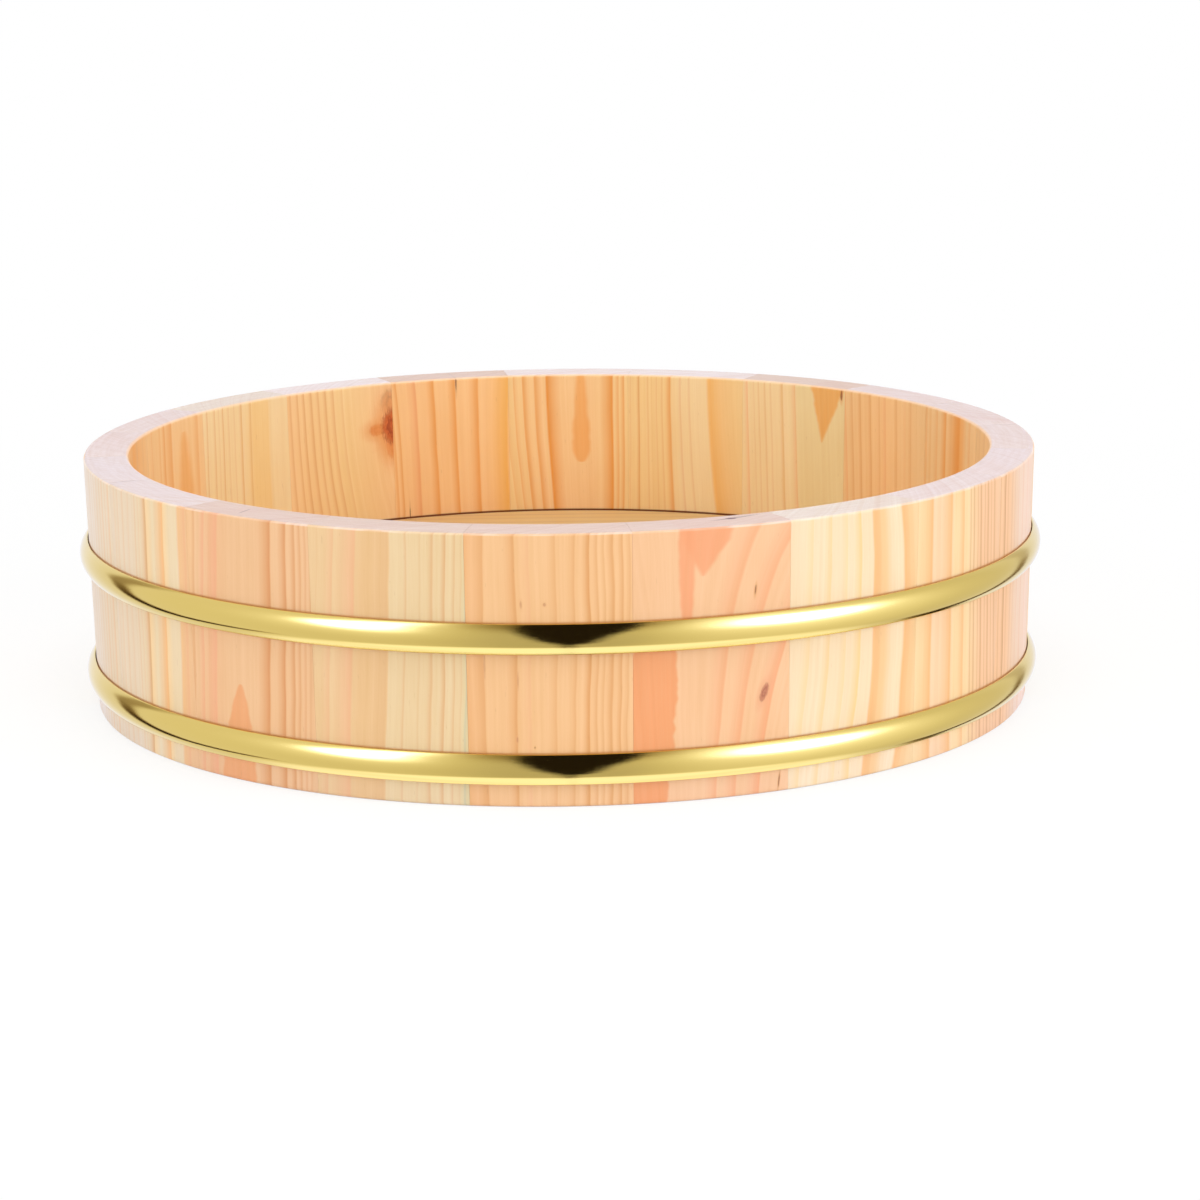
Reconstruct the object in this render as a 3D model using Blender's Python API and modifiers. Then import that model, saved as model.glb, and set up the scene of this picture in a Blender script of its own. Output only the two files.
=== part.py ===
"""Sushi rice tub: a shallow round tub of twenty mitred and pegged staves, a floor of four boards let into
a groove round the inside of the wall, and two half-round hoops driven up the slightly tapered wall.

Metres, +Z up. The tub stands on z = 0 with its axis on the Z axis, and its front faces -Y.
"""

import math

import bmesh
import bpy
from mathutils import Matrix

# Wall
RIM_DIAMETER = 0.265  # outside, across the top of the wall
TUB_HEIGHT = 0.070
WALL_THICKNESS = 0.0123
WALL_TAPER = 0.0016  # the foot's outer radius is this much less than the rim's
STAVE_COUNT = 20
FRONT_JOINT_ANGLE = math.radians(-10.4)  # the joint left of the front, turned from -Y towards +X
STAVE_JOINT_GAP = 0.0003
EDGE_EASE = 0.0008  # rounding of the rim's and the foot's edges

# Pegs
PEG_DIAMETER = 0.0030
PEG_POINT = 0.0006  # bevel round each end of a peg
PEG_CLEARANCE = 0.0003  # round a peg, and past each of its ends
STAVE_PEG_LENGTH = 0.0160
STAVE_PEG_BELOW_RIM = 0.0200
FLOOR_PEG_LENGTH = 0.0240
FLOOR_PEG_SPACING = 0.1100  # between the two pegs of one floor joint

# Floor
FLOOR_TOP_HEIGHT = 0.0268
FLOOR_THICKNESS = 0.0100
FLOOR_BOARD_COUNT = 4
FLOOR_JOINT_GAP = 0.0003
TONGUE_SHOULDER = 0.0020  # step down from the floor's top, and up from its underside, to the tongue
TONGUE_REACH = 0.0037  # how far the tongue goes into the wall
FLOOR_CLEARANCE = 0.0003  # between the floor's edge and the wall, on every side of the tongue

# Hoops
HOOP_HEIGHT = 0.0078
HOOP_DEPTH = 0.0025  # how far the half-round stands off its own back
HOOP_METAL = 0.0008
HOOP_CLEARANCE = 0.0003
UPPER_HOOP_BELOW_RIM = 0.0267  # from the rim to the middle of the hoop
LOWER_HOOP_ABOVE_FOOT = 0.0099  # from the ground to the middle of the hoop

# Fineness of the round forms
STEPS_PER_STAVE = 4
EASE_STEPS = 2
HOOP_OUTER_STEPS = 8
HOOP_INNER_STEPS = 4
PEG_SIDES = 10
SHARP_ANGLE = math.radians(35)
SEAM_MERGE = 0.00001  # joins the first and last section of a full turn

STAVE_ANGLE = 2 * math.pi / STAVE_COUNT
FIRST_JOINT = FRONT_JOINT_ANGLE - math.pi / 2  # the same joint, turned from +X
RIM_RADIUS = RIM_DIAMETER / 2

# The staves' wood, in turn from the one at the front towards +X
STAVE_TONES = (
    "honey", "rose", "cream", "cream", "rose", "honey", "honey", "honey", "cream", "cream",
    "honey", "rose", "honey", "cream", "honey", "rose", "cream", "cream", "rose", "cream",
)

# Colour, roughness and metallic value of each wood and metal
FINISHES = {
    "cream": ((0.93, 0.72, 0.42), 0.55, 0.0),
    "honey": ((0.92, 0.57, 0.27), 0.55, 0.0),
    "rose": ((0.90, 0.45, 0.25), 0.55, 0.0),
    "floor_wood": ((0.68, 0.42, 0.17), 0.60, 0.0),
    "bamboo": ((0.72, 0.52, 0.26), 0.50, 0.0),
    "gilt": ((0.83, 0.65, 0.20), 0.16, 1.0),
}


def clear_scene():
    for old in list(bpy.data.objects):
        bpy.data.objects.remove(old, do_unlink=True)


def new_collection(name):
    collection = bpy.data.collections.new(name)
    bpy.context.scene.collection.children.link(collection)
    return collection


def make_finishes():
    for name, (color, roughness, metallic) in FINISHES.items():
        material = bpy.data.materials.new(name)
        material.use_nodes = True
        shader = material.node_tree.nodes["Principled BSDF"]
        shader.inputs["Base Color"].default_value = (*color, 1.0)
        shader.inputs["Roughness"].default_value = roughness
        shader.inputs["Metallic"].default_value = metallic
        material.diffuse_color = (*color, 1.0)


def mesh_from(bm, name):
    mesh = bpy.data.meshes.new(name)
    bm.to_mesh(mesh)
    bm.free()
    return mesh


def new_piece(name, mesh, collection, finish):
    """The finish sits on the object, so that pieces of one mesh can be of different wood."""
    if not mesh.materials:
        mesh.materials.append(None)
    piece = bpy.data.objects.new(name, mesh)
    collection.objects.link(piece)
    piece.material_slots[0].link = "OBJECT"
    piece.material_slots[0].material = bpy.data.materials[finish]
    return piece


def new_helper(name, mesh, collection):
    """A cutter, or a blank that a piece is made from."""
    helper = bpy.data.objects.new(name, mesh)
    collection.objects.link(helper)
    helper.hide_render = True
    helper.display_type = "WIRE"
    return helper


def shade_round(mesh):
    mesh.shade_smooth()
    mesh.set_sharp_from_angle(angle=SHARP_ANGLE)
    return mesh


def finished_mesh(blank, name):
    """The blank's mesh with its modifiers applied. The blank itself is removed."""
    bpy.context.view_layer.update()
    graph = bpy.context.evaluated_depsgraph_get()
    mesh = bpy.data.meshes.new_from_object(blank.evaluated_get(graph))
    mesh.name = name
    bpy.data.objects.remove(blank, do_unlink=True)
    return shade_round(mesh)


def add_boolean(blank, cutter, operation):
    boolean = blank.modifiers.new(cutter.name, "BOOLEAN")
    boolean.object = cutter
    boolean.operation = operation
    boolean.solver = "EXACT"


def on_circle(radius, angle, height):
    return (radius * math.cos(angle), radius * math.sin(angle), height)


def wall_radius(height):
    """Outside of the wall at this height over the ground."""
    return RIM_RADIUS - WALL_TAPER * (1 - height / TUB_HEIGHT)


def well_radius(height):
    """Inside of the wall at this height over the ground."""
    return wall_radius(height) - WALL_THICKNESS


def floor_underside():
    return FLOOR_TOP_HEIGHT - FLOOR_THICKNESS


def tongue_underside():
    return floor_underside() + TONGUE_SHOULDER


def tongue_top():
    return FLOOR_TOP_HEIGHT - TONGUE_SHOULDER


def tongue_radius():
    return well_radius(tongue_underside()) + TONGUE_REACH


def stave_peg_height():
    return TUB_HEIGHT - STAVE_PEG_BELOW_RIM


def stave_peg_radius():
    """The stave pegs lie in the middle of the wall."""
    return wall_radius(stave_peg_height()) - WALL_THICKNESS / 2


def turned_blank(name, profile, closed, cutters):
    """A profile of (radius, height) points, running down on its outer side, to be turned about Z."""
    bm = bmesh.new()
    points = [bm.verts.new((radius, 0, height)) for radius, height in profile]
    for first, second in zip(points, points[1:]):
        bm.edges.new((first, second))
    if closed:
        bm.edges.new((points[-1], points[0]))
    blank = new_helper(f"{name}_blank", mesh_from(bm, name), cutters)
    screw = blank.modifiers.new("turn", "SCREW")
    screw.steps = STAVE_COUNT * STEPS_PER_STAVE
    screw.render_steps = screw.steps
    screw.use_merge_vertices = True
    screw.merge_threshold = SEAM_MERGE
    return blank


def rod_mesh(name, diameter, length, point):
    """A round rod along Y, its middle at the origin, with its ends bevelled by point."""
    bm = bmesh.new()
    bmesh.ops.create_cone(
        bm,
        cap_ends=True,
        segments=PEG_SIDES,
        radius1=diameter / 2,
        radius2=diameter / 2,
        depth=length,
    )
    if point:
        rims = [edge for edge in bm.edges if edge.verts[0].co.z * edge.verts[1].co.z > 0]
        bmesh.ops.bevel(bm, geom=rims, offset=point, segments=1, affect="EDGES")
    bmesh.ops.rotate(bm, verts=bm.verts, matrix=Matrix.Rotation(math.pi / 2, 3, "X"))
    return shade_round(mesh_from(bm, name))


def peg_hole(name, peg_length, place, turn, cutters):
    """The hole for a peg that crosses a joint at this place."""
    diameter = PEG_DIAMETER + 2 * PEG_CLEARANCE
    length = peg_length + 2 * PEG_CLEARANCE
    hole = new_helper(name, rod_mesh(name, diameter, length, 0), cutters)
    hole.location = place
    hole.rotation_euler.z = turn
    return hole


def draw_stave_section(bm):
    """The wall cut through at +X: a leaning bar with the floor's groove in its inner side."""
    groove_low = tongue_underside() - FLOOR_CLEARANCE
    groove_high = tongue_top() + FLOOR_CLEARANCE
    groove_back = tongue_radius() + FLOOR_CLEARANCE
    outline = (
        (wall_radius(0), 0),
        (wall_radius(TUB_HEIGHT), TUB_HEIGHT),
        (well_radius(TUB_HEIGHT), TUB_HEIGHT),
        (well_radius(groove_high), groove_high),
        (groove_back, groove_high),
        (groove_back, groove_low),
        (well_radius(groove_low), groove_low),
        (well_radius(0), 0),
    )
    corners = [bm.verts.new((radius, 0, height)) for radius, height in outline]
    bm.faces.new(corners)
    rim_and_foot = [corner for corner in corners if corner.co.z in (0, corners[1].co.z)]
    bmesh.ops.bevel(
        bm,
        geom=rim_and_foot,
        offset=EDGE_EASE,
        segments=EASE_STEPS,
        profile=0.5,
        affect="VERTICES",
    )


def stave_mesh(cutters):
    """One stave with its middle at +X: the wall's section swept through its share of the turn."""
    sweep = STAVE_ANGLE - STAVE_JOINT_GAP / stave_peg_radius()
    bm = bmesh.new()
    draw_stave_section(bm)
    bmesh.ops.rotate(bm, verts=bm.verts, matrix=Matrix.Rotation(-sweep / 2, 3, "Z"))
    bmesh.ops.spin(
        bm,
        geom=bm.faces[:] + bm.edges[:] + bm.verts[:],
        axis=(0, 0, 1),
        angle=sweep,
        steps=STEPS_PER_STAVE,
    )
    bmesh.ops.recalc_face_normals(bm, faces=bm.faces[:])
    blank = new_helper("stave_blank", mesh_from(bm, "stave"), cutters)
    for side in (-1, 1):
        joint = side * STAVE_ANGLE / 2
        place = on_circle(stave_peg_radius(), joint, stave_peg_height())
        name = f"stave_peg_hole_{'left' if side < 0 else 'right'}"
        hole = peg_hole(name, STAVE_PEG_LENGTH, place, joint, cutters)
        add_boolean(blank, hole, "DIFFERENCE")
    return finished_mesh(blank, "stave")


def make_staves(parts, cutters):
    mesh = stave_mesh(cutters)
    for index in range(STAVE_COUNT):
        tone = STAVE_TONES[index % len(STAVE_TONES)]
        stave = new_piece(f"stave_{index + 1:02d}", mesh, parts, tone)
        stave.rotation_euler.z = FIRST_JOINT + (index + 0.5) * STAVE_ANGLE


def make_stave_pegs(parts):
    """A bamboo peg across each joint of the wall."""
    mesh = rod_mesh("stave_peg", PEG_DIAMETER, STAVE_PEG_LENGTH, PEG_POINT)
    for index in range(STAVE_COUNT):
        joint = FIRST_JOINT + index * STAVE_ANGLE
        peg = new_piece(f"stave_peg_{index + 1:02d}", mesh, parts, "bamboo")
        peg.location = on_circle(stave_peg_radius(), joint, stave_peg_height())
        peg.rotation_euler.z = joint


def floor_profile():
    """From the axis out over the floor, down its shoulder, round the tongue, and back underneath."""
    shoulder = well_radius(floor_underside()) - FLOOR_CLEARANCE
    return (
        (0, FLOOR_TOP_HEIGHT),
        (shoulder, FLOOR_TOP_HEIGHT),
        (shoulder, tongue_top()),
        (tongue_radius(), tongue_top()),
        (tongue_radius(), tongue_underside()),
        (shoulder, tongue_underside()),
        (shoulder, floor_underside()),
        (0, floor_underside()),
    )


def floor_joints():
    """Where the floor's boards meet, along Y."""
    board_width = 2 * tongue_radius() / FLOOR_BOARD_COUNT
    return [(k + 1) * board_width - tongue_radius() for k in range(FLOOR_BOARD_COUNT - 1)]


def strip_between(name, near, far, cutters):
    """A block that takes in all of the floor from near to far along Y."""
    bm = bmesh.new()
    size = (2 * RIM_DIAMETER, far - near, 2 * TUB_HEIGHT)
    bmesh.ops.create_cube(bm, size=1)
    bmesh.ops.scale(bm, vec=size, verts=bm.verts)
    strip = new_helper(name, mesh_from(bm, name), cutters)
    strip.location.y = (near + far) / 2
    return strip


def make_floor(parts, cutters):
    """Boards that run along X, each a strip of one turned disc, and the pegs that join them."""
    peg_height = FLOOR_TOP_HEIGHT - FLOOR_THICKNESS / 2
    peg_places = [
        (side * FLOOR_PEG_SPACING / 2, joint, peg_height)
        for joint in floor_joints()
        for side in (-1, 1)
    ]
    holes = [
        peg_hole(f"floor_peg_hole_{index + 1}", FLOOR_PEG_LENGTH, place, 0, cutters)
        for index, place in enumerate(peg_places)
    ]
    edges = [-RIM_RADIUS, *floor_joints(), RIM_RADIUS]
    for index, (near, far) in enumerate(zip(edges, edges[1:])):
        blank = turned_blank("floor", floor_profile(), False, cutters)
        blank.rotation_euler.z = FIRST_JOINT
        name = f"floor_board_{index + 1}"
        gap = FLOOR_JOINT_GAP / 2
        strip = strip_between(f"{name}_strip", near + gap, far - gap, cutters)
        add_boolean(blank, strip, "INTERSECT")
        for hole in holes:
            add_boolean(blank, hole, "DIFFERENCE")
        board = new_piece(name, finished_mesh(blank, name), parts, "floor_wood")
        board.rotation_euler.z = FIRST_JOINT

    peg_mesh = rod_mesh("floor_peg", PEG_DIAMETER, FLOOR_PEG_LENGTH, PEG_POINT)
    for index, place in enumerate(peg_places):
        peg = new_piece(f"floor_peg_{index + 1}", peg_mesh, parts, "bamboo")
        peg.location = place


def hoop_profile(middle):
    """A half-round strip, hollow behind, with two lips that follow the leaning wall."""
    outer = (HOOP_HEIGHT / 2, HOOP_DEPTH, HOOP_OUTER_STEPS, 1)
    inner = (HOOP_HEIGHT / 2 - HOOP_METAL, HOOP_DEPTH - HOOP_METAL, HOOP_INNER_STEPS, -1)
    profile = []
    for half_height, depth, steps, way in (outer, inner):
        for step in range(steps + 1):
            angle = way * math.pi * (0.5 - step / steps)
            height = middle + half_height * math.sin(angle)
            back = wall_radius(height) + HOOP_CLEARANCE
            profile.append((back + depth * math.cos(angle), height))
    return profile


def make_hoops(parts, cutters):
    middles = {
        "upper_hoop": TUB_HEIGHT - UPPER_HOOP_BELOW_RIM,
        "lower_hoop": LOWER_HOOP_ABOVE_FOOT,
    }
    for name, middle in middles.items():
        blank = turned_blank(name, hoop_profile(middle), True, cutters)
        hoop = new_piece(name, finished_mesh(blank, name), parts, "gilt")
        hoop.rotation_euler.z = FIRST_JOINT


def main():
    clear_scene()
    make_finishes()
    parts = new_collection("sushi_rice_tub")
    cutters = new_collection("cutters")
    make_staves(parts, cutters)
    make_stave_pegs(parts)
    make_floor(parts, cutters)
    make_hoops(parts, cutters)


main()
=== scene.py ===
import math

import bmesh
import bpy
from mathutils import Euler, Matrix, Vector


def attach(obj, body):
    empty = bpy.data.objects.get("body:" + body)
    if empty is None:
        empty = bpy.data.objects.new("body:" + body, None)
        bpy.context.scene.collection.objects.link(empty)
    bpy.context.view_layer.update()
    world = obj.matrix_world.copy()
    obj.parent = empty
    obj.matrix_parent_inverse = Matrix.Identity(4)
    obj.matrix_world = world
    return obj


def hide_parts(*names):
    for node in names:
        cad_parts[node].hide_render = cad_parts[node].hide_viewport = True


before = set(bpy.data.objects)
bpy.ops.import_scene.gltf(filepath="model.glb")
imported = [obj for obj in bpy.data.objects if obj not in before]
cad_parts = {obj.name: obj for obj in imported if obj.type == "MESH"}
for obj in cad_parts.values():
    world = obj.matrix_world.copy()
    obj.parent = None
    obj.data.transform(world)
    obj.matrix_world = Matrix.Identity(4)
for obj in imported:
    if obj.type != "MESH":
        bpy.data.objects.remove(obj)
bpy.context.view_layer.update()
print("frame loaded with", len(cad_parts), "nodes")


# small helpers for node trees

class Flow:
    # a node's output; maths written with it becomes math nodes in the same tree
    def __init__(self, socket):
        self.socket = socket
        self.id_data = socket.id_data

    def __add__(self, other):
        return calc("ADD", self, other)

    def __radd__(self, other):
        return calc("ADD", other, self)

    def __sub__(self, other):
        return calc("SUBTRACT", self, other)

    def __rsub__(self, other):
        return calc("SUBTRACT", other, self)

    def __mul__(self, other):
        return calc("MULTIPLY", self, other)

    def __truediv__(self, other):
        return calc("DIVIDE", self, other)

    def __pow__(self, other):
        return calc("POWER", self, other)

    def __neg__(self):
        return calc("MULTIPLY", self, -1.0)


def treeOf(*values):
    # the tree of the first node output among the values
    return next(value.id_data for value in values if hasattr(value, "id_data"))


def fill(socket, value):
    # a node's output is linked to the socket, and anything else is set on it
    value = value.socket if isinstance(value, Flow) else value
    if isinstance(value, bpy.types.NodeSocket):
        socket.id_data.links.new(value, socket)
    else:
        socket.default_value = value


def addNode(tree, kind, inputs=None, **settings):
    node = tree.nodes.new(kind)
    for name, value in settings.items():
        setattr(node, name, value)
    for key, value in (inputs or {}).items():
        fill(node.inputs[key], value)
    return node


def calc(operation, *values):
    node = addNode(treeOf(*values), "ShaderNodeMath", dict(enumerate(values)), operation=operation)
    return Flow(node.outputs[0])


def highest(first, second):
    return calc("MAXIMUM", first, second)


def fade(value, start, end, low=0.0, high=1.0):
    # smooth step from low, where value is start, to high, where it is end
    inputs = {"Value": value, "From Min": start, "From Max": end, "To Min": low, "To Max": high}
    node = addNode(treeOf(value), "ShaderNodeMapRange", inputs, interpolation_type="SMOOTHSTEP")
    return Flow(node.outputs[0])


def blend(share, first, second, mode="MIX"):
    inputs = {0: share, 6: first, 7: second}  # 6 and 7 are the Mix node's colours
    tree = treeOf(share, first, second)
    return Flow(addNode(tree, "ShaderNodeMix", inputs, data_type="RGBA", blend_type=mode).outputs[2])


def plot(value, points):
    # value looked up along straight lines between (value, result) points
    first, last = points[0][0], points[-1][0]
    low = min(y for _, y in points)
    high = max(y for _, y in points)
    tree = treeOf(value)
    share = addNode(tree, "ShaderNodeMapRange", {"Value": value, "From Min": first, "From Max": last})
    curve = addNode(tree, "ShaderNodeFloatCurve", {"Factor": 1.0, "Value": share.outputs[0]})
    line = curve.mapping.curves[0]
    while len(line.points) < len(points):
        line.points.new(0.5, 0.5)
    for point, (x, y) in zip(line.points, points):
        point.location = ((x - first) / (last - first), (y - low) / (high - low))
        point.handle_type = "VECTOR"
    curve.mapping.update()
    return Flow(curve.outputs[0]) * (high - low) + low


def split(vector):
    return [Flow(part) for part in addNode(treeOf(vector), "ShaderNodeSeparateXYZ", {0: vector}).outputs]


def join(x, y, z):
    return Flow(addNode(treeOf(x, y, z), "ShaderNodeCombineXYZ", {0: x, 1: y, 2: z}).outputs[0])


def stretch(parts, scales):
    return join(*[part * scale for part, scale in zip(parts, scales)])


def noise(vector, detail, roughness, seed=0.0):
    inputs = {"Vector": vector, "W": seed, "Scale": 1.0, "Detail": detail, "Roughness": roughness}
    return Flow(addNode(treeOf(vector), "ShaderNodeTexNoise", inputs, noise_dimensions="4D").outputs[0])


def lineNoise(value, scale, detail, roughness=0.5):
    inputs = {"W": value, "Scale": scale, "Detail": detail, "Roughness": roughness}
    return Flow(addNode(treeOf(value), "ShaderNodeTexNoise", inputs, noise_dimensions="1D").outputs[0])


def newGroup(name, kind, inputs, outputs):
    # inputs and outputs are labels with a socket type, or with a default value that tells the type
    tree = bpy.data.node_groups.new(name, kind)
    typeNames = {float: "Float", int: "Int", tuple: "Color"}
    for labels, way in ((inputs, "INPUT"), (outputs, "OUTPUT")):
        for label, value in labels.items():
            socketType = "NodeSocket" + (typeNames.get(type(value)) or value)
            socket = tree.interface.new_socket(name=label, in_out=way, socket_type=socketType)
            if type(value) in typeNames:
                socket.default_value = value
    given = {socket.name: Flow(socket) for socket in tree.nodes.new("NodeGroupInput").outputs}
    return tree, given, tree.nodes.new("NodeGroupOutput").inputs


def useGroup(tree, group, inputs):
    node = addNode(tree, "ShaderNodeGroup", inputs, node_tree=group)
    return {socket.name: Flow(socket) for socket in node.outputs}


def layOut(tree, rows=7):
    # spreads the nodes in columns, in the order they were made
    for index, node in enumerate(tree.nodes):
        node.location = (240 * (index // rows), -260 * (index % rows))


# other helpers

white = (1, 1, 1, 1)


def screenTone(red, green, blue):
    # 8-bit screen values to the linear values that shaders take
    shares = [value / 255 for value in (red, green, blue)]
    return (*[s / 12.92 if s < 0.04 else ((s + 0.055) / 1.055) ** 2.4 for s in shares], 1.0)


def newMaterial(name):
    material = bpy.data.materials.new(name)
    material.use_nodes = True
    return material, material.node_tree


def addObject(name, data):
    thing = bpy.data.objects.new(name, data)
    bpy.context.scene.collection.objects.link(thing)
    return thing


# the tub's sizes

tubSizes = {
    "rimRadius": 0.1325,
    "taper": 0.0016,  # the foot's outer radius is this much smaller
    "height": 0.070,
    "wall": 0.0123,
    "staves": 20,
    "frontJoint": math.radians(-10.4),  # turned from -Y towards +X
    "jointGap": 0.00003,
    "edgeEase": 0.0008,
    "jointEase": 0.00006,
    "turnSteps": 12,  # facets across one stave
    "floorTop": 0.0268,
    "floorThickness": 0.010,
    "tongueShoulder": 0.002,
    "tongueReach": 0.0037,
    "grooveClearance": 0.0003,
    "hoopHeight": 0.0078,
    "hoopMiddles": {"upper_hoop": 0.0433, "lower_hoop": 0.0099},  # above the ground
}
staveAngle = 2 * math.pi / tubSizes["staves"]


def outerRadius(height):
    return tubSizes["rimRadius"] - tubSizes["taper"] * (1 - height / tubSizes["height"])


def innerRadius(height):
    return outerRadius(height) - tubSizes["wall"]


# one tree turns every ring-shaped piece: a section swept through part of a turn

def endTree(tree, shape, material, result):
    real = addNode(tree, "GeometryNodeRealizeInstances", {"Geometry": shape}).outputs[0]
    coloured = addNode(tree, "GeometryNodeSetMaterial", {"Geometry": real, "Material": material})
    fill(result, coloured.outputs[0])
    layOut(tree)
    return tree


def makeTurnTree():
    tree, given, result = newGroup("turned strip", "GeometryNodeTree", {
        "Section": "Geometry", "Start angle": 0.0, "Sweep angle": 0.3, "Steps": 12, "Rim radius": 0.13,
        "Taper": 0.0, "Depth": 0.01, "Height": 0.07, "Material": "Material",
    }, {"Turned piece": "Geometry"})
    profile = addNode(tree, "GeometryNodeMeshToCurve", {"Mesh": given["Section"]}).outputs[0]
    path = addNode(tree, "GeometryNodeCurvePrimitiveLine", {"Start": (0, 0, 0), "End": (0, 1, 0)}).outputs[0]
    pathInputs = {"Curve": path, "Count": given["Steps"] + 1}
    stepped = addNode(tree, "GeometryNodeResampleCurve", pathInputs).outputs[0]
    sweepInputs = {"Curve": stepped, "Profile Curve": profile, "Fill Caps": True}
    swept = addNode(tree, "GeometryNodeCurveToMesh", sweepInputs).outputs[0]
    radius, share, height = split(addNode(tree, "GeometryNodeInputPosition").outputs[0])
    # where each point lies in the piece: share of the turn, share of the depth, share of the height
    risen = height / given["Height"]
    wallHere = given["Rim radius"] - given["Taper"] * (1.0 - risen)
    deep = (wallHere - radius) / given["Depth"]
    marked = addNode(
        tree,
        "GeometryNodeStoreNamedAttribute",
        {"Geometry": swept, "Name": "inPiece", "Value": join(share, deep, risen)},
        data_type="FLOAT_VECTOR",
        domain="POINT",
    ).outputs[0]
    angle = given["Start angle"] + share * given["Sweep angle"]
    turned = join(radius * calc("COSINE", angle), radius * calc("SINE", angle), height)
    bent = addNode(tree, "GeometryNodeSetPosition", {"Geometry": marked, "Position": turned}).outputs[0]
    smooth = addNode(tree, "GeometryNodeSetShadeSmooth", {"Geometry": bent}).outputs[0]
    return endTree(tree, smooth, given["Material"], result["Turned piece"])


def closedOutline(name, points):
    # a closed outline of (radius, height) points as a mesh; the sweep turns its Y down
    mesh = bpy.data.meshes.new(name)
    count = len(points)
    edges = [(i, (i + 1) % count) for i in range(count)]
    mesh.from_pydata([(r, -z, 0) for r, z in points], edges, [])
    return mesh


def easedCorner(before, corner, after, ease, steps=4):
    # an arc of points that rounds one corner of an outline, with a holding point on each side
    holding = 0.6  # how far each lies from the arc, as a share of its radius
    toBefore = (Vector(before) - Vector(corner)).normalized()
    toAfter = (Vector(after) - Vector(corner)).normalized()
    half = toBefore.angle(toAfter) / 2
    centre = Vector(corner) + (toBefore + toAfter).normalized() * (ease / math.sin(half))
    first = Vector(corner) + toBefore * (ease / math.tan(half))
    last = Vector(corner) + toAfter * (ease / math.tan(half))
    arc = []
    for step in range(steps + 1):
        point = first.lerp(last, step / steps)
        arc.append(centre + (point - centre).normalized() * ease)
    return [first + toBefore * ease * holding, *arc, last + toAfter * ease * holding]


def growPiece(name, source, tree, values, jointEase=0.0, sharp=35):
    # runs a Geometry Nodes tree on a source mesh and keeps the result as a plain mesh
    piece = addObject(name, source)
    maker = piece.modifiers.new(tree.name, "NODES")
    maker.node_group = tree
    for socket in tree.interface.items_tree:
        if socket.in_out == "INPUT" and socket.name in values:
            maker[socket.identifier] = values[socket.name]
    if jointEase:
        easing = piece.modifiers.new("eased arrises", "BEVEL")
        easing.width = jointEase
        easing.segments = 2
        easing.limit_method = "ANGLE"
        easing.angle_limit = math.radians(50)
        easing.loop_slide = False
    bpy.context.view_layer.update()
    graph = bpy.context.evaluated_depsgraph_get()
    plain = bpy.data.meshes.new_from_object(piece.evaluated_get(graph), depsgraph=graph)
    plain.name = name
    piece.modifiers.clear()
    piece.data = plain
    plain.set_sharp_from_angle(angle=math.radians(sharp))
    return piece


# wood: shared groups

woodLook = {
    # how fast each pattern changes in a millimetre across, through and along the wood
    "fibre": (2.6, 2.6, 0.09),
    "flecks": (1.9, 1.9, 0.34),
    "cloud": (0.09, 1.0, 0.03),
    "lines": 0.55,  # the same for the fine lines, across the rings
    "seedSpread": 37.0,  # how far along the same lines one seed lies from the next
    "fleckEdge": (0.70, 0.80),  # noise values where a fleck begins and is full
    "fibreShade": 0.10,
    "cloudShade": 0.16,
    "fleckShade": 0.16,
    # darker wood is also more orange, so blue falls faster than red
    "redPower": 0.5,
    "bluePower": 1.9,
    # the same on the ends of the grain, which also take up some of the side's colour
    "endFibre": 0.3,
    "endCloud": 0.3,
    "endLines": 0.22,
    "endRings": 0.07,
    "endRedPower": 0.6,
    "endBluePower": 1.3,
    "sideOnEnd": 0.10,
    "roughness": 0.56,
    "ringPolish": 0.10,  # late wood is smoother by this much
    "endRoughness": 0.15,
    "fibreRelief": 0.5,
    "ringRelief": 0.35,
    "reliefDepth": 0.0002,
}
figureLook = {
    "wanderScale": (2.5, 1.0, 2.6),  # how often rings stray, across, through and up a stave
    "flameRounding": 10,  # millimetres in from the tip where a flame reaches its half width
    "flameRagged": (0.75, 0.5, 0.25),  # least width, what the noise adds, and its change in a millimetre
    "flameTip": 0.4,  # millimetres over which the tip fades
    "knotRagged": (2.2, 0.6),  # its noise's change in a millimetre across and up
    # a knot's own distance is 1 at its edge: where its heart and its halo begin and are full
    "heartEdge": (1.1, 0.55),
    "haloEdge": (2.3, 0.8),
    "knotRings": 13.0,
    "knotRingShade": 0.3,
}
staveSpan = (41.6, 12.3, 70.0)  # millimetres across, through and up one stave


def makeGrainGroup():
    # a place in the stave to its place across the growth rings, which lean, bow and wander
    tree, given, result = newGroup("leaning grain", "ShaderNodeTree", {
        "Place": "Vector", "Lean left": 0.0, "Lean right": 0.0, "Bow left": 0.0, "Bow right": 0.0,
        "Through": 0.0, "Seen face": 0.0, "Wander": 0.02, "Seed": 0.0,
    }, {"Ring place": "Float"})
    across, depth, height = split(given["Place"])
    up = height - 0.5
    lean = given["Lean left"] + (given["Lean right"] - given["Lean left"]) * across
    bow = given["Bow left"] + (given["Bow right"] - given["Bow left"]) * across
    through = given["Through"] * (depth - given["Seen face"])
    wanderPlace = stretch((across, depth, height), figureLook["wanderScale"])
    wandering = noise(wanderPlace, 2.0, 0.45, given["Seed"]) - 0.5
    moved = across - lean * up - bow * (up * up) - through
    fill(result["Ring place"], moved + wandering * given["Wander"])
    layOut(tree)
    return tree


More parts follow.
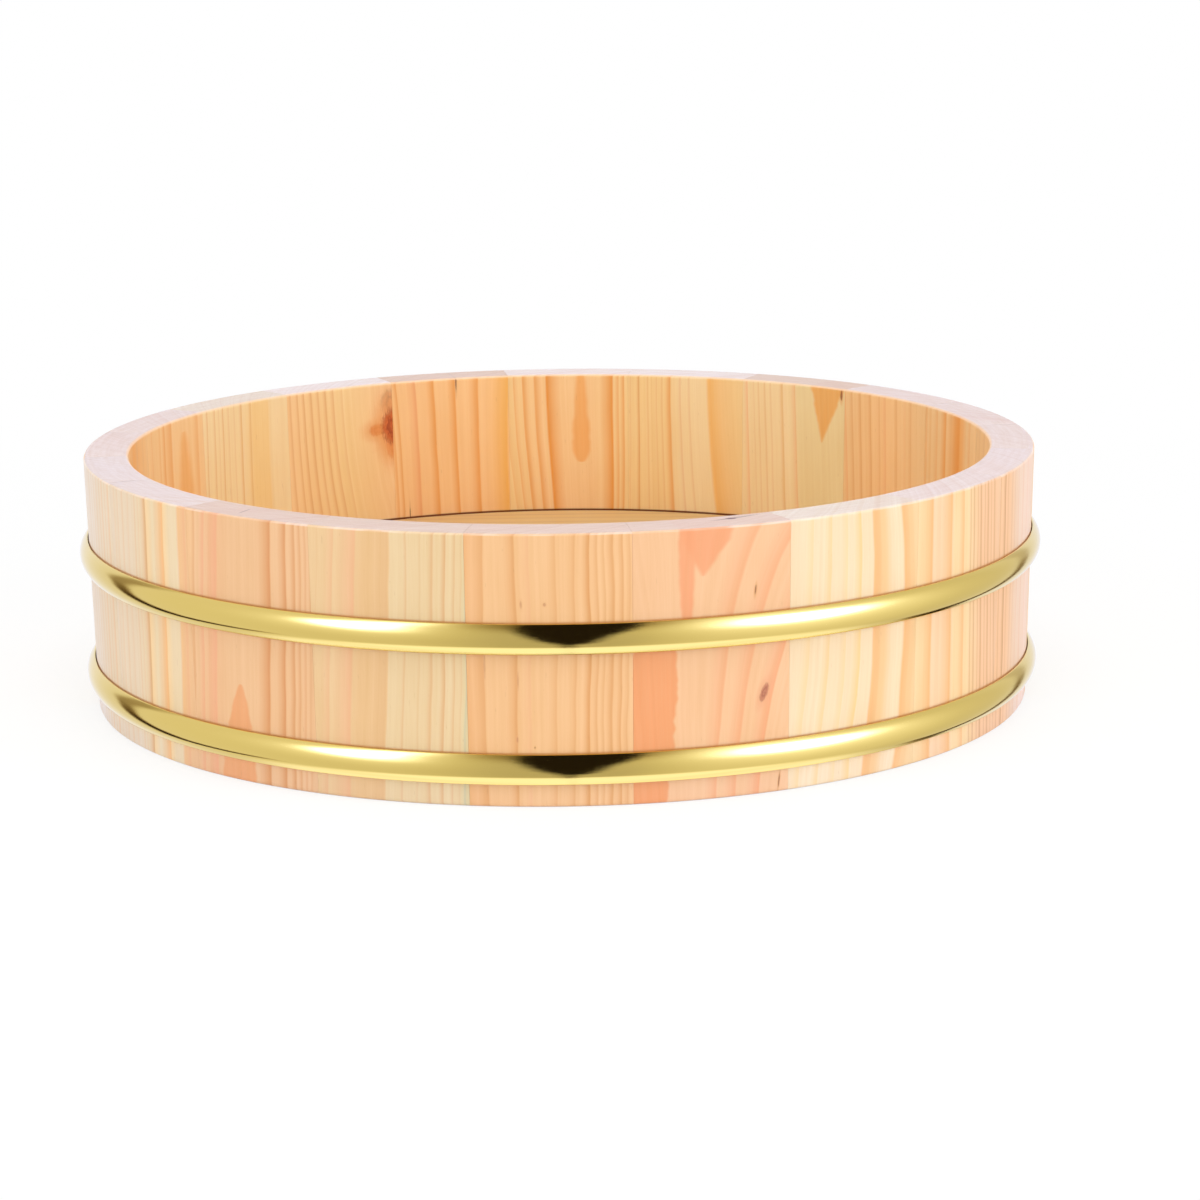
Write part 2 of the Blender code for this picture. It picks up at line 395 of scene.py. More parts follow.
def makeFibreGroup():
    # fine lines that follow the rings, long fibres, short dark resin flecks, and broad clouds
    tree, given, result = newGroup("fine fibre", "ShaderNodeTree", {
        "Millimetres": "Vector", "Ring millimetres": "Float", "Seed": 0.0,
    }, {"Lines": "Float", "Fibre": "Float", "Flecks": "Float", "Cloud": "Float"})
    place, seed = split(given["Millimetres"]), given["Seed"]
    linePlace = given["Ring millimetres"] + seed * woodLook["seedSpread"]
    fill(result["Lines"], lineNoise(linePlace, woodLook["lines"], 3.0, 0.6))
    fill(result["Fibre"], noise(stretch(place, woodLook["fibre"]), 3.0, 0.6, seed))
    specks = noise(stretch(place, woodLook["flecks"]), 1.0, 0.5, seed)
    fill(result["Flecks"], fade(specks, *woodLook["fleckEdge"]))
    fill(result["Cloud"], noise(stretch(place, woodLook["cloud"]), 2.0, 0.5, seed))
    layOut(tree)
    return tree


def makeFlameGroup():
    # the pointed patch where a flat-sawn board cuts one ring
    tree, given, result = newGroup("ring flame", "ShaderNodeTree", {
        "Across": "Float", "Up": "Float", "Middle": 20.0, "Tip": 30.0, "Half width": 3.0, "Opens": 1.0,
        "Lean": 0.0, "Narrowing": 0.0, "Straight": 0.0, "Softness": 0.5, "Seed": 0.0,
    }, {"Mask": "Float"})
    inside = highest((given["Up"] - given["Tip"]) * given["Opens"], 0.0)  # millimetres in from the tip
    power = given["Straight"] * 0.5 + 0.5  # 0.5 rounds the tip and 1 makes straight sides
    width = (inside * (1 / figureLook["flameRounding"])) ** power * given["Half width"]
    width = width * calc("EXPONENT", inside * -given["Narrowing"])
    least, added, change = figureLook["flameRagged"]
    ragged = noise(join(0.0, 0.0, given["Up"] * change), 1.0, 0.5, given["Seed"])
    width = width * (least + ragged * added)
    aside = calc("ABSOLUTE", given["Across"] - given["Middle"] - given["Lean"] * inside)
    mask = fade(aside - width, given["Softness"], -given["Softness"])
    fill(result["Mask"], mask * fade(inside, 0.0, figureLook["flameTip"]))
    layOut(tree)
    return tree


def makeKnotGroup():
    tree, given, result = newGroup("knot", "ShaderNodeTree", {
        "Across": "Float", "Up": "Float", "Middle": 20.0, "Height": 30.0, "Half width": 1.0,
        "Half height": 2.0, "Tilt": 0.0, "Raggedness": 0.9, "Seed": 0.0,
    }, {"Heart": "Float", "Rings": "Float", "Halo": "Float"})
    above = given["Up"] - given["Height"]
    aside = given["Across"] - given["Middle"] - given["Tilt"] * above
    far = calc("SQRT", (aside / given["Half width"]) ** 2.0 + (above / given["Half height"]) ** 2.0)
    look = figureLook
    raggedPlace = join(given["Across"] * look["knotRagged"][0], 0.0, given["Up"] * look["knotRagged"][1])
    ragged = noise(raggedPlace, 4.0, 0.65, given["Seed"]) - 0.5
    far = far + ragged * given["Raggedness"]
    turns = calc("SINE", far * look["knotRings"])
    fill(result["Heart"], fade(far, *look["heartEdge"]))
    fill(result["Rings"], turns * look["knotRingShade"] + 0.5 + ragged)
    fill(result["Halo"], fade(far, *look["haloEdge"]))
    layOut(tree)
    return tree


def makeWoodGroup():
    # the last step of every wooden surface: fine shading, end grain, roughness and relief
    tree, given, result = newGroup("wood surface", "ShaderNodeTree", {
        "Colour": (0.8, 0.6, 0.4, 1), "Ring strength": 0.0, "Lines": 0.5, "Fibre": 0.5, "Flecks": 0.0,
        "Cloud": 0.5, "Line contrast": 0.15, "End grain": 0.0, "End colour": (0.8, 0.7, 0.7, 1),
        "Chips": 0.0, "Chip colour": (0.2, 0.14, 0.12, 1), "Fleck colour": (0.45, 0.2, 0.07, 1),
    }, {"Colour": "Color", "Roughness": "Float", "Relief": "Float"})
    look = woodLook
    ring, endGrain = given["Ring strength"], given["End grain"]
    lines, fibre, cloud = [given[label] - 0.5 for label in ("Lines", "Fibre", "Cloud")]
    shade = 1.0 + lines * given["Line contrast"] + fibre * look["fibreShade"] + cloud * look["cloudShade"]
    tint = join(shade ** look["redPower"], shade, shade ** look["bluePower"])
    side = blend(1.0, given["Colour"], tint, "MULTIPLY")
    side = blend(given["Flecks"] * look["fleckShade"], side, given["Fleck colour"])
    shade = 1.0 + fibre * look["endFibre"] + cloud * look["endCloud"] + lines * look["endLines"]
    shade = shade - ring * look["endRings"]
    tint = join(shade ** look["endRedPower"], shade, shade ** look["endBluePower"])
    end = blend(1.0, given["End colour"], tint, "MULTIPLY")
    end = blend(look["sideOnEnd"], end, given["Colour"])
    end = blend(given["Chips"], end, given["Chip colour"])
    fill(result["Colour"], blend(endGrain, side, end))
    rough = look["roughness"] - ring * look["ringPolish"] + endGrain * look["endRoughness"]
    fill(result["Roughness"], rough)
    fill(result["Relief"], given["Fibre"] * look["fibreRelief"] + ring * look["ringRelief"])
    layOut(tree)
    return tree


grainGroup = makeGrainGroup()
fibreGroup = makeFibreGroup()
flameGroup = makeFlameGroup()
knotGroup = makeKnotGroup()
woodGroup = makeWoodGroup()
print("wood groups ready")


def finishWood(tree, values, fibre, bump=0.0):
    # the shared surface, and its way into the material's shader
    surface = useGroup(tree, woodGroup, {**values, **fibre})
    shader = tree.nodes["Principled BSDF"].inputs
    fill(shader["Base Color"], surface["Colour"])
    fill(shader["Roughness"], surface["Roughness"])
    if bump:
        relief = {"Strength": bump, "Distance": woodLook["reliefDepth"], "Height": surface["Relief"]}
        fill(shader["Normal"], addNode(tree, "ShaderNodeBump", relief).outputs[0])
    layOut(tree)


# staves

# screen values of the wood's tones
woodTones = {
    "ivory": (254, 231, 200),
    "butter": (253, 222, 176),
    "warmCream": (254, 218, 182),
    "cream": (243, 222, 190),
    "paleGold": (241, 216, 176),
    "greenCream": (232, 216, 174),
    "straw": (242, 209, 165),
    "tanStraw": (240, 201, 153),
    "peach": (244, 200, 158),
    "deepPeach": (242, 192, 148),
    "gold": (248, 202, 154),
    "deepGold": (246, 192, 140),
    "rose": (250, 204, 164),
    "apricot": (251, 207, 170),
    "blush": (241, 222, 201),
    # painted sheen: pale tones for the outside near the left and right outlines, where grazing light washes
    # it out
    "rosyMist": (246, 218, 200),
    "mist": (243, 230, 221),
    "pinkMist": (252, 224, 212),
    "glue": (196, 202, 190),
    # late wood
    "ringGold": (232, 166, 104),
    "ringPeach": (231, 181, 130),
    "ringOrange": (228, 160, 106),
    "ringBlush": (245, 182, 144),
    "ringSalmon": (249, 171, 127),
    "deepSalmon": (247, 166, 113),
    "ringYellow": (253, 219, 158),
    "ringHoney": (251, 195, 136),
    "ringTan": (236, 194, 146),
    "ringOlive": (212, 154, 100),
    "softBand": (247, 200, 152),
    "flame": (243, 172, 120),
    # staves that are seen from inside, where the wall opposite deepens them
    "strawInside": (251, 224, 174),
    "paleInside": (243, 221, 168),
    "butterInside": (250, 216, 156),
    "goldInside": (250, 215, 152),
    "honeyInside": (252, 210, 155),
    "warmInside": (253, 206, 148),
    "tanInside": (246, 206, 152),
    "amberInside": (246, 184, 114),
    "wedgeInside": (240, 176, 94),
    "tearInside": (246, 178, 104),
    "bandInside": (248, 192, 112),
    "yellowBandInside": (248, 188, 100),
    "salmonInside": (244, 176, 120),
    "ringGoldInside": (232, 178, 108),
    "ringAmberInside": (238, 159, 76),
    "ringBrownInside": (228, 160, 92),
}
# end grain, as far as it has darkened
endTones = {
    "plain": (225, 209, 207),
    "warm": (218, 195, 184),
    "creamy": (226, 211, 200),
    "pale": (233, 221, 221),
}
# halo, light and dark tones of knots and marks
knotTones = {
    "rosy": ((243, 172, 136), (206, 132, 102), (158, 86, 66)),
    "red": ((236, 156, 84), (214, 110, 50), (156, 62, 24)),
    "amber": ((238, 166, 100), (234, 148, 78), (220, 126, 60)),
    "bark": ((236, 180, 122), (220, 150, 98), (150, 88, 52)),
    "brown": ((226, 160, 96), (186, 118, 66), (120, 70, 40)),
    "smudge": ((240, 186, 140), (222, 158, 114), (196, 130, 92)),
    "crack": ((214, 160, 110), (150, 100, 70), (96, 58, 40)),
}
staveWood = {
    "through": 0.35,  # how far the rings move across the stave between its two faces
    "wander": 0.025,  # how far they stray, where a stave names nothing else
    "lineContrast": 0.14,
    "bump": 0.25,
    "ringPatches": (0.7, 0.6),  # a ring's least strength, and what the fibre adds
    "flamePatches": (0.62, 0.5),
    "haloShare": 0.55,
    "chipsAbove": (0.6, 0.7),  # shares of the height below which no chips show
    # shares of the height where the end grain of the rim and the foot begins and is full
    "rimEnd": (0.9955, 0.9985),
    "footEnd": (0.0045, 0.0015),
    "endInside": (0.935, 0.965, 1.0, 0.4),  # it fades from 1 to 0.4 between these shares of the wall
    "chipTone": (126, 98, 98),
}
paintedLightLook = {
    # "Up" values are millimetres and "Deep" ones shares of the wall: where a mark begins and is full, and
    # then its strength at both, where that isn't 0 and 1
    "outsideShadeTint": (0.97, 0.925, 0.82, 1),  # painted shade: darkens and warms the outside above its foot
    "outsideDeep": (0.2, 0.1),
    "shadeTintUp": (2.0, 15.0),
    "hoopShadowLine": (230, 160, 86),  # painted contact shadow, with the hoop's warm reflection, along its upper edge
    "hoopShadowTop": (0.5, 0.1),  # millimetres above a hoop's upper edge
    "hoopShadowFoot": (-1.5, -1.2),
    "hoopShadowShare": 0.65,
    "arris": (252, 232, 218),  # painted highlight on the rim's outer edge, in patches where the cloud is high
    "arrisUp": (69.25, 69.5),
    "arrisPatches": (0.44, 0.6, 0.12, 0.5),
    "innerArris": (254, 216, 178),  # the rim's inner edge: partly its side grain, partly a painted highlight
    "innerArrisUp": (69.35, 69.65, 0.0, 0.75),
    "innerArrisDeep": (0.93, 0.965),
    "corner": (105, 36, 0),  # painted shadow in the gap where the wall meets the floor
    "cornerUp": (0.6, 0.3),  # millimetres above the floor
    "cornerDeep": (0.8, 0.9),
    "cornerShadowShare": 0.92,
}

# rings are (place across the stave, width, strength, own tone or nothing), as seen on the face that "seen"
# names; a width below zero puts the ring's sharp edge on its left
# flames are (place, tip, half width, 1 to open up or -1 down, lean, narrowing, straightness, tone, softness
# if not 0.5)
# knots are (place, height, half width, half height, tilt, depth, kind)
# chips in the rim are (place, millimetres in from the outside, half width, half depth, tilt, darkness)
staveLooks = {
    "stave_01": {
        "seen": "outside", "end": "warm", "ring": "ringGold",
        "tones": [(0, "deepGold"), (0.12, "gold"), (1, "gold")],
        "rings": [(0.107, 0.06, 0.65), (0.3, 0.055, 0.75), (0.385, 0.04, 0.35, "ringBlush"),
                  (0.54, 0.04, 0.55), (0.655, 0.035, 0.6), (0.74, 0.04, 0.95), (0.79, 0.028, 0.6),
                  (0.83, 0.02, 0.4), (0.88, 0.034, 0.85), (0.935, 0.03, 0.75), (0.975, 0.02, 0.45)],
        "lean": (0.0, 0.02), "wander": 0.06, "seed": 1.3,
        "knots": [(0.11, 37, 0.3, 4.5, 0.0, 0.4, "smudge"), (0.335, 52, 0.3, 1.1, 0.0, 0.55, "smudge"),
                  (0.475, 52, 0.4, 0.5, 0.0, 0.6, "smudge"), (0.31, 32.5, 0.22, 2.6, 0.0, 0.45, "smudge"),
                  (0.3, 17.5, 0.3, 0.8, 0.0, 0.6, "smudge"), (0.405, 15.5, 0.16, 0.3, 0.0, 0.7, "brown")],
    },
    "stave_02": {
        "seen": "outside", "end": "warm", "ring": "ringSalmon",
        "tones": [(0, "rose"), (1, "rose")],
        "rings": [(0.57, 0.09, 0.55), (0.735, 0.1, 0.62), (0.935, 0.1, 0.8)],
        "lean": (-0.2, 0.52), "bow": (0.0, 0.22), "wander": 0.05, "seed": 2.1,
        "flames": [(0.43, 57.5, 6.2, 1, 0.1, 0.0, 0.8, "ringSalmon", 0.9),
                   (0.33, 42.0, 2.1, 1, 0.0, 0.02, 0.0, "ringSalmon", 0.6),
                   (0.14, 46.8, 7.4, -1, -0.037, 0.0275, 0.0, "deepSalmon")],
        "chips": [(0.72, 8.6, 3.2, 1.8, 4.5, 0.5), (0.685, 8.2, 2.0, 1.0, 0.0, 1.0)],
        "knots": [(0.766, 53, 0.28, 1.3, 0.1, 0.8, "brown"), (0.83, 26.5, 1.2, 2.6, 0.35, 0.85, "rosy"),
                  (0.936, 3, 0.25, 2.2, 0.1, 0.8, "brown")],
    },
    "stave_03": {
        "seen": "outside", "end": "creamy", "ring": "ringYellow",
        "tones": [(0, "ivory"), (0.62, "ivory"), (0.65, "butter"), (0.72, "butter"), (0.78, "ivory"),
                  (0.87, "ivory"), (0.91, "butter"), (1, "butter")],
        "rings": [(0.13, 0.055, 0.6), (0.275, 0.05, 0.7), (0.4, 0.04, 0.6), (0.515, 0.06, 1.0),
                  (0.63, -0.16, 1.0, "ringHoney"), (0.9, -0.15, 1.0, "ringHoney")],
        "lean": (0.12, 0.02), "bow": (0.0, -0.3), "wander": 0.065, "seed": 3.7,
    },
    "stave_04": {
        "seen": "outside", "ring": "ringOlive",
        "tones": [(0, "butter"), (0.13, "butter"), (0.16, "warmCream"), (0.34, "warmCream"),
                  (0.4, "butter"), (0.55, "butter"), (0.75, "apricot"), (1, "apricot")],
        "rings": [(0.15, 0.11, 1.0, "ringHoney"), (0.36, 0.11, 0.95, "ringHoney"),
                  (0.51, 0.06, 0.85, "ringHoney"), (0.6, 0.018, 0.5), (0.65, 0.022, 0.75),
                  (0.7, 0.016, 0.45), (0.745, 0.024, 0.8), (0.8, 0.018, 0.5), (0.85, 0.024, 0.75),
                  (0.9, 0.018, 0.45), (0.95, 0.024, 0.65)],
        "lean": (0.0, -0.12), "seed": 4.2,
    },
    "stave_05": {
        "seen": "outside", "ring": "ringOlive",
        # its right part turns to painted sheen
        "tones": [(0, "apricot"), (0.2, "apricot"), (0.4, "rosyMist"), (0.75, "pinkMist"), (1, "rosyMist")],
        "rings": [(0.035, 0.03, 0.55), (0.125, 0.045, 0.9), (0.18, 0.025, 0.4), (0.26, 0.03, 0.35),
                  (0.33, 0.03, 0.3), (0.42, 0.04, 0.3, "ringBlush"), (0.55, 0.05, 0.25, "ringBlush"),
                  (0.7, 0.04, 0.2, "ringBlush")],
        "lean": (-0.05, -0.05), "wander": 0.05, "seed": 5.9,
    },
    "stave_06": {
        "seen": "inside", "ring": "ringPeach",
        "tones": [(0, "tanInside"), (0.5, "honeyInside"), (1, "tanInside")],
        "rings": [(0.12, 0.05, 0.4), (0.3, 0.09, 0.5), (0.55, 0.07, 0.6), (0.7, 0.05, 0.4),
                  (0.9, 0.08, 0.6)],
        "lean": (0.05, 0.08), "seed": 6.4,
    },
    "stave_07": {
        "seen": "inside", "ring": "ringAmberInside",
        "tones": [(0, "tanInside"), (0.47, "tanInside"), (0.58, "amberInside"), (0.66, "amberInside"),
                  (0.76, "tanInside"), (1, "honeyInside")],
        "rings": [(0.04, 0.05, 0.4), (0.1, 0.03, 0.2), (0.205, 0.05, 0.4), (0.345, 0.09, 0.85),
                  (0.6, 0.26, 1.0), (0.85, 0.06, 0.35)],
        "lean": (-0.02, -0.02), "seed": 7.2,
    },
    "stave_08": {
        "seen": "inside", "ring": "ringBrownInside",
        "tones": [(0, "tanInside"), (0.5, "warmInside"), (1, "tanInside")],
        "rings": [(0.055, 0.035, 0.5, "salmonInside"), (0.125, 0.03, 0.5), (0.215, 0.035, 0.6),
                  (0.325, 0.035, 0.6), (0.43, 0.04, 0.4), (0.5, 0.05, 0.5, "salmonInside"),
                  (0.64, 0.04, 0.4), (0.75, 0.03, 0.3, "salmonInside"), (0.83, 0.05, 0.4)],
        "lean": (-0.1, -0.06), "seed": 8.5,
    },
    "stave_09": {
        "seen": "inside", "end": "warm", "ring": "ringGoldInside",
        "tones": [(0, "strawInside"), (0.45, "strawInside"), (0.58, "paleInside"), (1, "paleInside")],
        "rings": [(0.073, 0.035, 0.6, "salmonInside"), (0.138, 0.02, 0.3), (0.187, 0.022, 0.45),
                  (0.246, 0.025, 0.5), (0.3, 0.02, 0.4), (0.41, 0.035, 0.7),
                  (0.535, 0.05, 0.5, "salmonInside")],
        "lean": (-0.06, -0.14), "seed": 9.1,
        "flames": [(0.765, 52.5, 4.1, 1, 0.13, 0.0, 1.0, "wedgeInside", 0.8)],
        "knots": [(0.965, 68, 0.55, 1.8, 0.0, 0.9, "brown")],
    },
    "stave_10": {
        "seen": "inside", "end": "pale", "ring": "ringBrownInside",
        "tones": [(0, "butterInside"), (0.35, "butterInside"), (0.47, "strawInside"), (0.72, "strawInside"),
                  (1, "butterInside")],
        "rings": [(0.02, 0.02, 0.3), (0.097, 0.025, 0.8), (0.182, 0.02, 0.45), (0.217, 0.012, 0.25),
                  (0.262, 0.02, 0.35), (0.312, 0.02, 0.4), (0.386, 0.05, 0.8, "ringAmberInside"),
                  (0.487, 0.025, 0.4), (0.57, 0.02, 0.25), (0.76, -0.26, 0.95, "bandInside")],
        "lean": (0.02, -0.3), "bow": (0.0, 0.22), "seed": 10.6,
    },
    "stave_11": {
        "seen": "inside", "end": "pale", "ring": "ringAmberInside",
        "tones": [(0, "butterInside"), (0.3, "honeyInside"), (0.7, "honeyInside"), (1, "butterInside")],
        "rings": [(0.035, -0.03, 0.3), (0.1, -0.03, 0.5), (0.173, -0.045, 0.75), (0.264, -0.05, 0.7),
                  (0.36, -0.1, 1.0), (0.87, 0.09, 1.0), (0.92, 0.03, 0.6), (0.965, 0.035, 0.75)],
        "lean": (-0.22, 0.04), "bow": (0.2, -0.06), "seed": 11.8,
        "flames": [(0.606, 42, 5.75, 1, 0.0, 0.07, 0.0, "tearInside", 0.9)],
    },
    "stave_12": {
        "seen": "inside", "end": "warm", "ring": "ringAmberInside",
        "tones": [(0, "warmInside"), (1, "warmInside")],
        "rings": [(0.03, 0.025, 0.7), (0.08, 0.03, 0.7), (0.23, 0.07, 1.0, "salmonInside"),
                  (0.385, 0.065, 0.9), (0.56, 0.06, 0.9), (0.745, 0.07, 0.85),
                  (0.98, 0.16, 1.0, "yellowBandInside")],
        "lean": (-0.05, -0.05), "bow": (-0.1, 0.2), "wander": 0.04, "seed": 12.4,
        "knots": [(0.56, 68.5, 0.3, 3.0, 0.0, 0.75, "crack"), (0.13, 28, 0.16, 2.6, 0.0, 0.8, "crack")],
    },
    "stave_13": {
        "seen": "inside", "end": "pale", "ring": "ringBrownInside",
        "tones": [(0, "honeyInside"), (0.6, "butterInside"), (1, "honeyInside")],
        "rings": [(0.07, 0.03, 0.55), (0.15, 0.03, 0.5), (0.22, 0.035, 0.6), (0.3, 0.035, 0.6),
                  (0.375, 0.03, 0.5), (0.45, 0.035, 0.6), (0.53, 0.04, 0.5), (0.62, 0.03, 0.35)],
        "lean": (-0.12, -0.4), "bow": (0.1, 0.35), "seed": 13.9,
        "knots": [(0.86, 55.6, 3.8, 2.1, 0.2, 0.9, "amber"), (1.0, 50.5, 3.2, 5.0, 0.0, 0.75, "amber"),
                  (0.985, 63.5, 3.9, 5.2, 0.0, 0.6, "bark"), (1.0, 56.2, 4.7, 6.1, 0.0, 1.0, "red")],
    },
    "stave_14": {
        "seen": "inside", "end": "creamy", "ring": "ringGoldInside",
        "tones": [(0, "strawInside"), (0.5, "strawInside"), (0.62, "goldInside"), (0.78, "goldInside"),
                  (0.81, "strawInside"), (1, "strawInside")],
        "rings": [(0.04, 0.03, 0.6), (0.142, 0.03, 0.6), (0.2, 0.022, 0.35), (0.256, 0.03, 0.7),
                  (0.326, 0.025, 0.4), (0.395, 0.022, 0.3), (0.483, 0.035, 0.75), (0.59, 0.03, 0.6)],
        "lean": (0.05, 0.0), "seed": 14.3,
    },
    "stave_15": {
        "seen": "inside", "ring": "ringAmberInside",
        "tones": [(0, "honeyInside"), (1, "honeyInside")],
        "rings": [(0.1, 0.05, 0.3), (0.27, 0.035, 0.35), (0.358, 0.06, 0.6), (0.48, 0.15, 0.6),
                  (0.9, 0.08, 0.4)],
        "lean": (0.02, 0.05), "seed": 15.7,
        "flames": [(0.71, 66.0, 3.4, -1, 0.0, 0.0, 0.0, "amberInside", 2.2)],
    },
    "stave_16": {
        "seen": "inside", "ring": "ringPeach",
        "tones": [(0, "honeyInside"), (0.5, "amberInside"), (1, "honeyInside")],
        "rings": [(0.1, 0.08, 0.5), (0.3, 0.05, 0.4), (0.42, 0.06, 0.6), (0.66, 0.1, 0.6),
                  (0.85, 0.05, 0.4)],
        "lean": (0.1, 0.05), "seed": 16.2,
    },
    "stave_17": {
        "seen": "outside", "ring": "ringTan",
        # its left part's pale tones are painted sheen
        "tones": [(0, "blush"), (0.15, "mist"), (0.5, "mist"), (0.8, "blush"), (1, "blush")],
        "rings": [(0.3, 0.04, 0.2), (0.4, 0.05, 0.25), (0.5, 0.035, 0.3), (0.58, 0.04, 0.35),
                  (0.66, 0.04, 0.4), (0.735, 0.03, 0.45), (0.8, 0.035, 0.5, "softBand"), (0.87, 0.03, 0.45),
                  (0.94, 0.04, 0.55, "softBand")],
        "lean": (0.05, 0.05), "seed": 17.6,
        "chips": [(0.985, 4.6, 0.3, 4.4, 0.0, 0.5)],
    },
    "stave_18": {
        "seen": "outside", "ring": "ringTan",
        "tones": [(0, "blush"), (0.32, "blush"), (0.515, "cream"), (0.525, "butter"), (0.6, "cream"),
                  (0.7, "cream"), (0.735, "butter"), (0.79, "cream"), (0.87, "cream"), (0.89, "softBand"),
                  (1, "peach")],
        "rings": [(0.06, 0.03, 0.4), (0.12, 0.03, 0.45), (0.2, 0.035, 0.5), (0.28, 0.03, 0.4),
                  (0.38, 0.025, 0.6), (0.425, 0.02, 0.55), (0.515, 0.07, 1.0, "ringPeach"),
                  (0.72, 0.1, 1.0, "ringHoney"), (0.955, 0.04, 0.5, "ringBlush")],
        "lean": (0.04, 0.07), "wander": 0.045, "seed": 18.8,
    },
    "stave_19": {
        "seen": "outside", "end": "warm", "ring": "ringOrange",
        "tones": [(0, "softBand"), (0.05, "peach"), (0.16, "peach"), (0.175, "deepPeach"), (0.36, "peach"),
                  (1, "peach")],
        "rings": [(0.03, 0.025, 0.55), (0.12, 0.05, 0.9, "ringBlush"), (0.235, 0.11, 1.0, "ringBlush"),
                  (0.68, 0.085, 1.0), (0.8, 0.055, 1.0), (0.868, 0.035, 0.85), (0.91, 0.025, 0.6),
                  (0.95, 0.02, 0.6), (0.985, 0.015, 0.5)],
        "lean": (0.12, 0.055), "wander": 0.05, "seed": 19.5,
        "flames": [(0.428, 26, 3.5, -1, -0.08, 0.0, 0.2, "flame")],
        "chips": [(0.405, 5.6, 0.35, 3.4, -0.26, 0.45)],
    },
    "stave_20": {
        "seen": "outside", "end": "warm", "ring": "ringPeach",
        "tones": [(0, "straw"), (0.25, "straw"), (0.32, "tanStraw"), (0.5, "tanStraw"), (0.51, "paleGold"),
                  (0.95, "paleGold"), (1, "greenCream")],
        "rings": [(0.012, 0.015, 0.3), (0.12, 0.06, 0.4, "ringBlush"), (0.27, 0.13, 0.6, "ringBlush"),
                  (0.49, 0.09, 0.75, "ringTan"), (0.615, 0.022, 0.6), (0.708, 0.015, 0.3),
                  (0.785, 0.03, 0.75), (0.865, 0.032, 0.85), (0.925, 0.02, 0.6), (0.965, 0.015, 0.35),
                  (0.997, 0.012, 0.8, "glue")],
        "lean": (0.13, 0.045), "wander": 0.05, "seed": 20.4,
    },
}
curveStart, curveSpan = -0.25, 1.5  # the part of the ring places that a stave's curves cover
ringRise, ringFall = 1.1, 0.12  # ring widths before and after its sharp edge


def ringCurvePoints(rings):
    # corner points of the late wood's strength, which rises slowly and ends sharply
    corners = set()
    for at, wide, _ in rings:
        for share in (-ringRise, -0.6, -0.2, 0.0, ringFall):
            corner = round(at + share * wide, 4)
            if curveStart < corner < curveStart + curveSpan:
                corners.add(corner)
    points = []
    for corner in sorted(corners):
        total = 0.0
        for at, wide, strength in rings:
            along = (corner - at) / wide
            if -ringRise <= along <= 0:
                total += strength * ((along + ringRise) / ringRise) ** 1.3
            elif 0 < along < ringFall:
                total += strength * (1 - along / ringFall)
        points.append((corner, min(total, 1.0)))
    return [(curveStart, 0.0), *points, (curveStart + curveSpan, 0.0)]


def mirrored(look):
    # what was measured on the inside face runs the other way round the tub
    turned = dict(look)
    turned["tones"] = sorted((1 - at, tone) for at, tone in look["tones"])
    turned["rings"] = [(1 - at, -wide, *rest) for at, wide, *rest in look["rings"]]
    for key in ("lean", "bow"):
        left, right = look.get(key, (0.0, 0.0))
        turned[key] = (-right, -left)
    for key in ("flames", "knots"):
        turned[key] = [(1 - row[0], *row[1:4], -row[4], *row[5:]) for row in look.get(key, [])]
    return turned


def addPaintedLight(colour, deep, up, mottle):
    # painted shade over the outside, a painted contact shadow above each hoop, a painted highlight on the
    # rim's outer edge, a partly painted highlight on its inner edge, and a painted shadow in the corner above
    # the floor
    look = paintedLightLook
    outside = fade(deep, *look["outsideDeep"])
    # painted shade: the outside darkened and warmed from a few millimetres up
    colour = blend(outside * fade(up, *look["shadeTintUp"]), colour, look["outsideShadeTint"], "MULTIPLY")
    for middle in tubSizes["hoopMiddles"].values():
        edge = (middle + tubSizes["hoopHeight"] / 2) * 1000
        top, foot = [[edge + part for part in look[key]] for key in ("hoopShadowTop", "hoopShadowFoot")]
        # painted contact shadow and warm reflection of the hoop, in a thin band at its upper edge
        line = fade(up, *top) * fade(up, *foot) * outside
        colour = blend(line * look["hoopShadowShare"], colour, screenTone(*look["hoopShadowLine"]))
    # painted highlight along the rim's outer edge, broken into patches
    edgeHighlight = fade(up, *look["arrisUp"]) * fade(mottle, *look["arrisPatches"])
    colour = blend(edgeHighlight * outside, colour, screenTone(*look["arris"]))
    # the rim's inner edge made cream: partly side grain, partly painted highlight
    eased = fade(up, *look["innerArrisUp"]) * fade(deep, *look["innerArrisDeep"])
    colour = blend(eased, colour, screenTone(*look["innerArris"]))
    overFloor = [tubSizes["floorTop"] * 1000 + part for part in look["cornerUp"]]
    # painted shadow in the corner just above the floor
    corner = fade(up, *overFloor) * fade(deep, *look["cornerDeep"])
    return blend(corner * look["cornerShadowShare"], colour, screenTone(*look["corner"]))


def addRings(colour, look, ringPlace, fibre):
    # rings of the stave's own tone, then those that have another; also gives all their strength
    ringTones = {}
    for at, wide, depth, *tone in look["rings"]:
        ringTones.setdefault(tone[0] if tone else look["ring"], []).append((at, wide, depth))
    least, added = staveWood["ringPatches"]
    patchy = least + fibre["Fibre"] * added
    strength = None
    for tone, rings in ringTones.items():
        here = plot(ringPlace, ringCurvePoints(rings)) * patchy
        colour = blend(here, colour, screenTone(*woodTones[tone]))
        strength = here if strength is None else highest(strength, here)
    return colour, strength


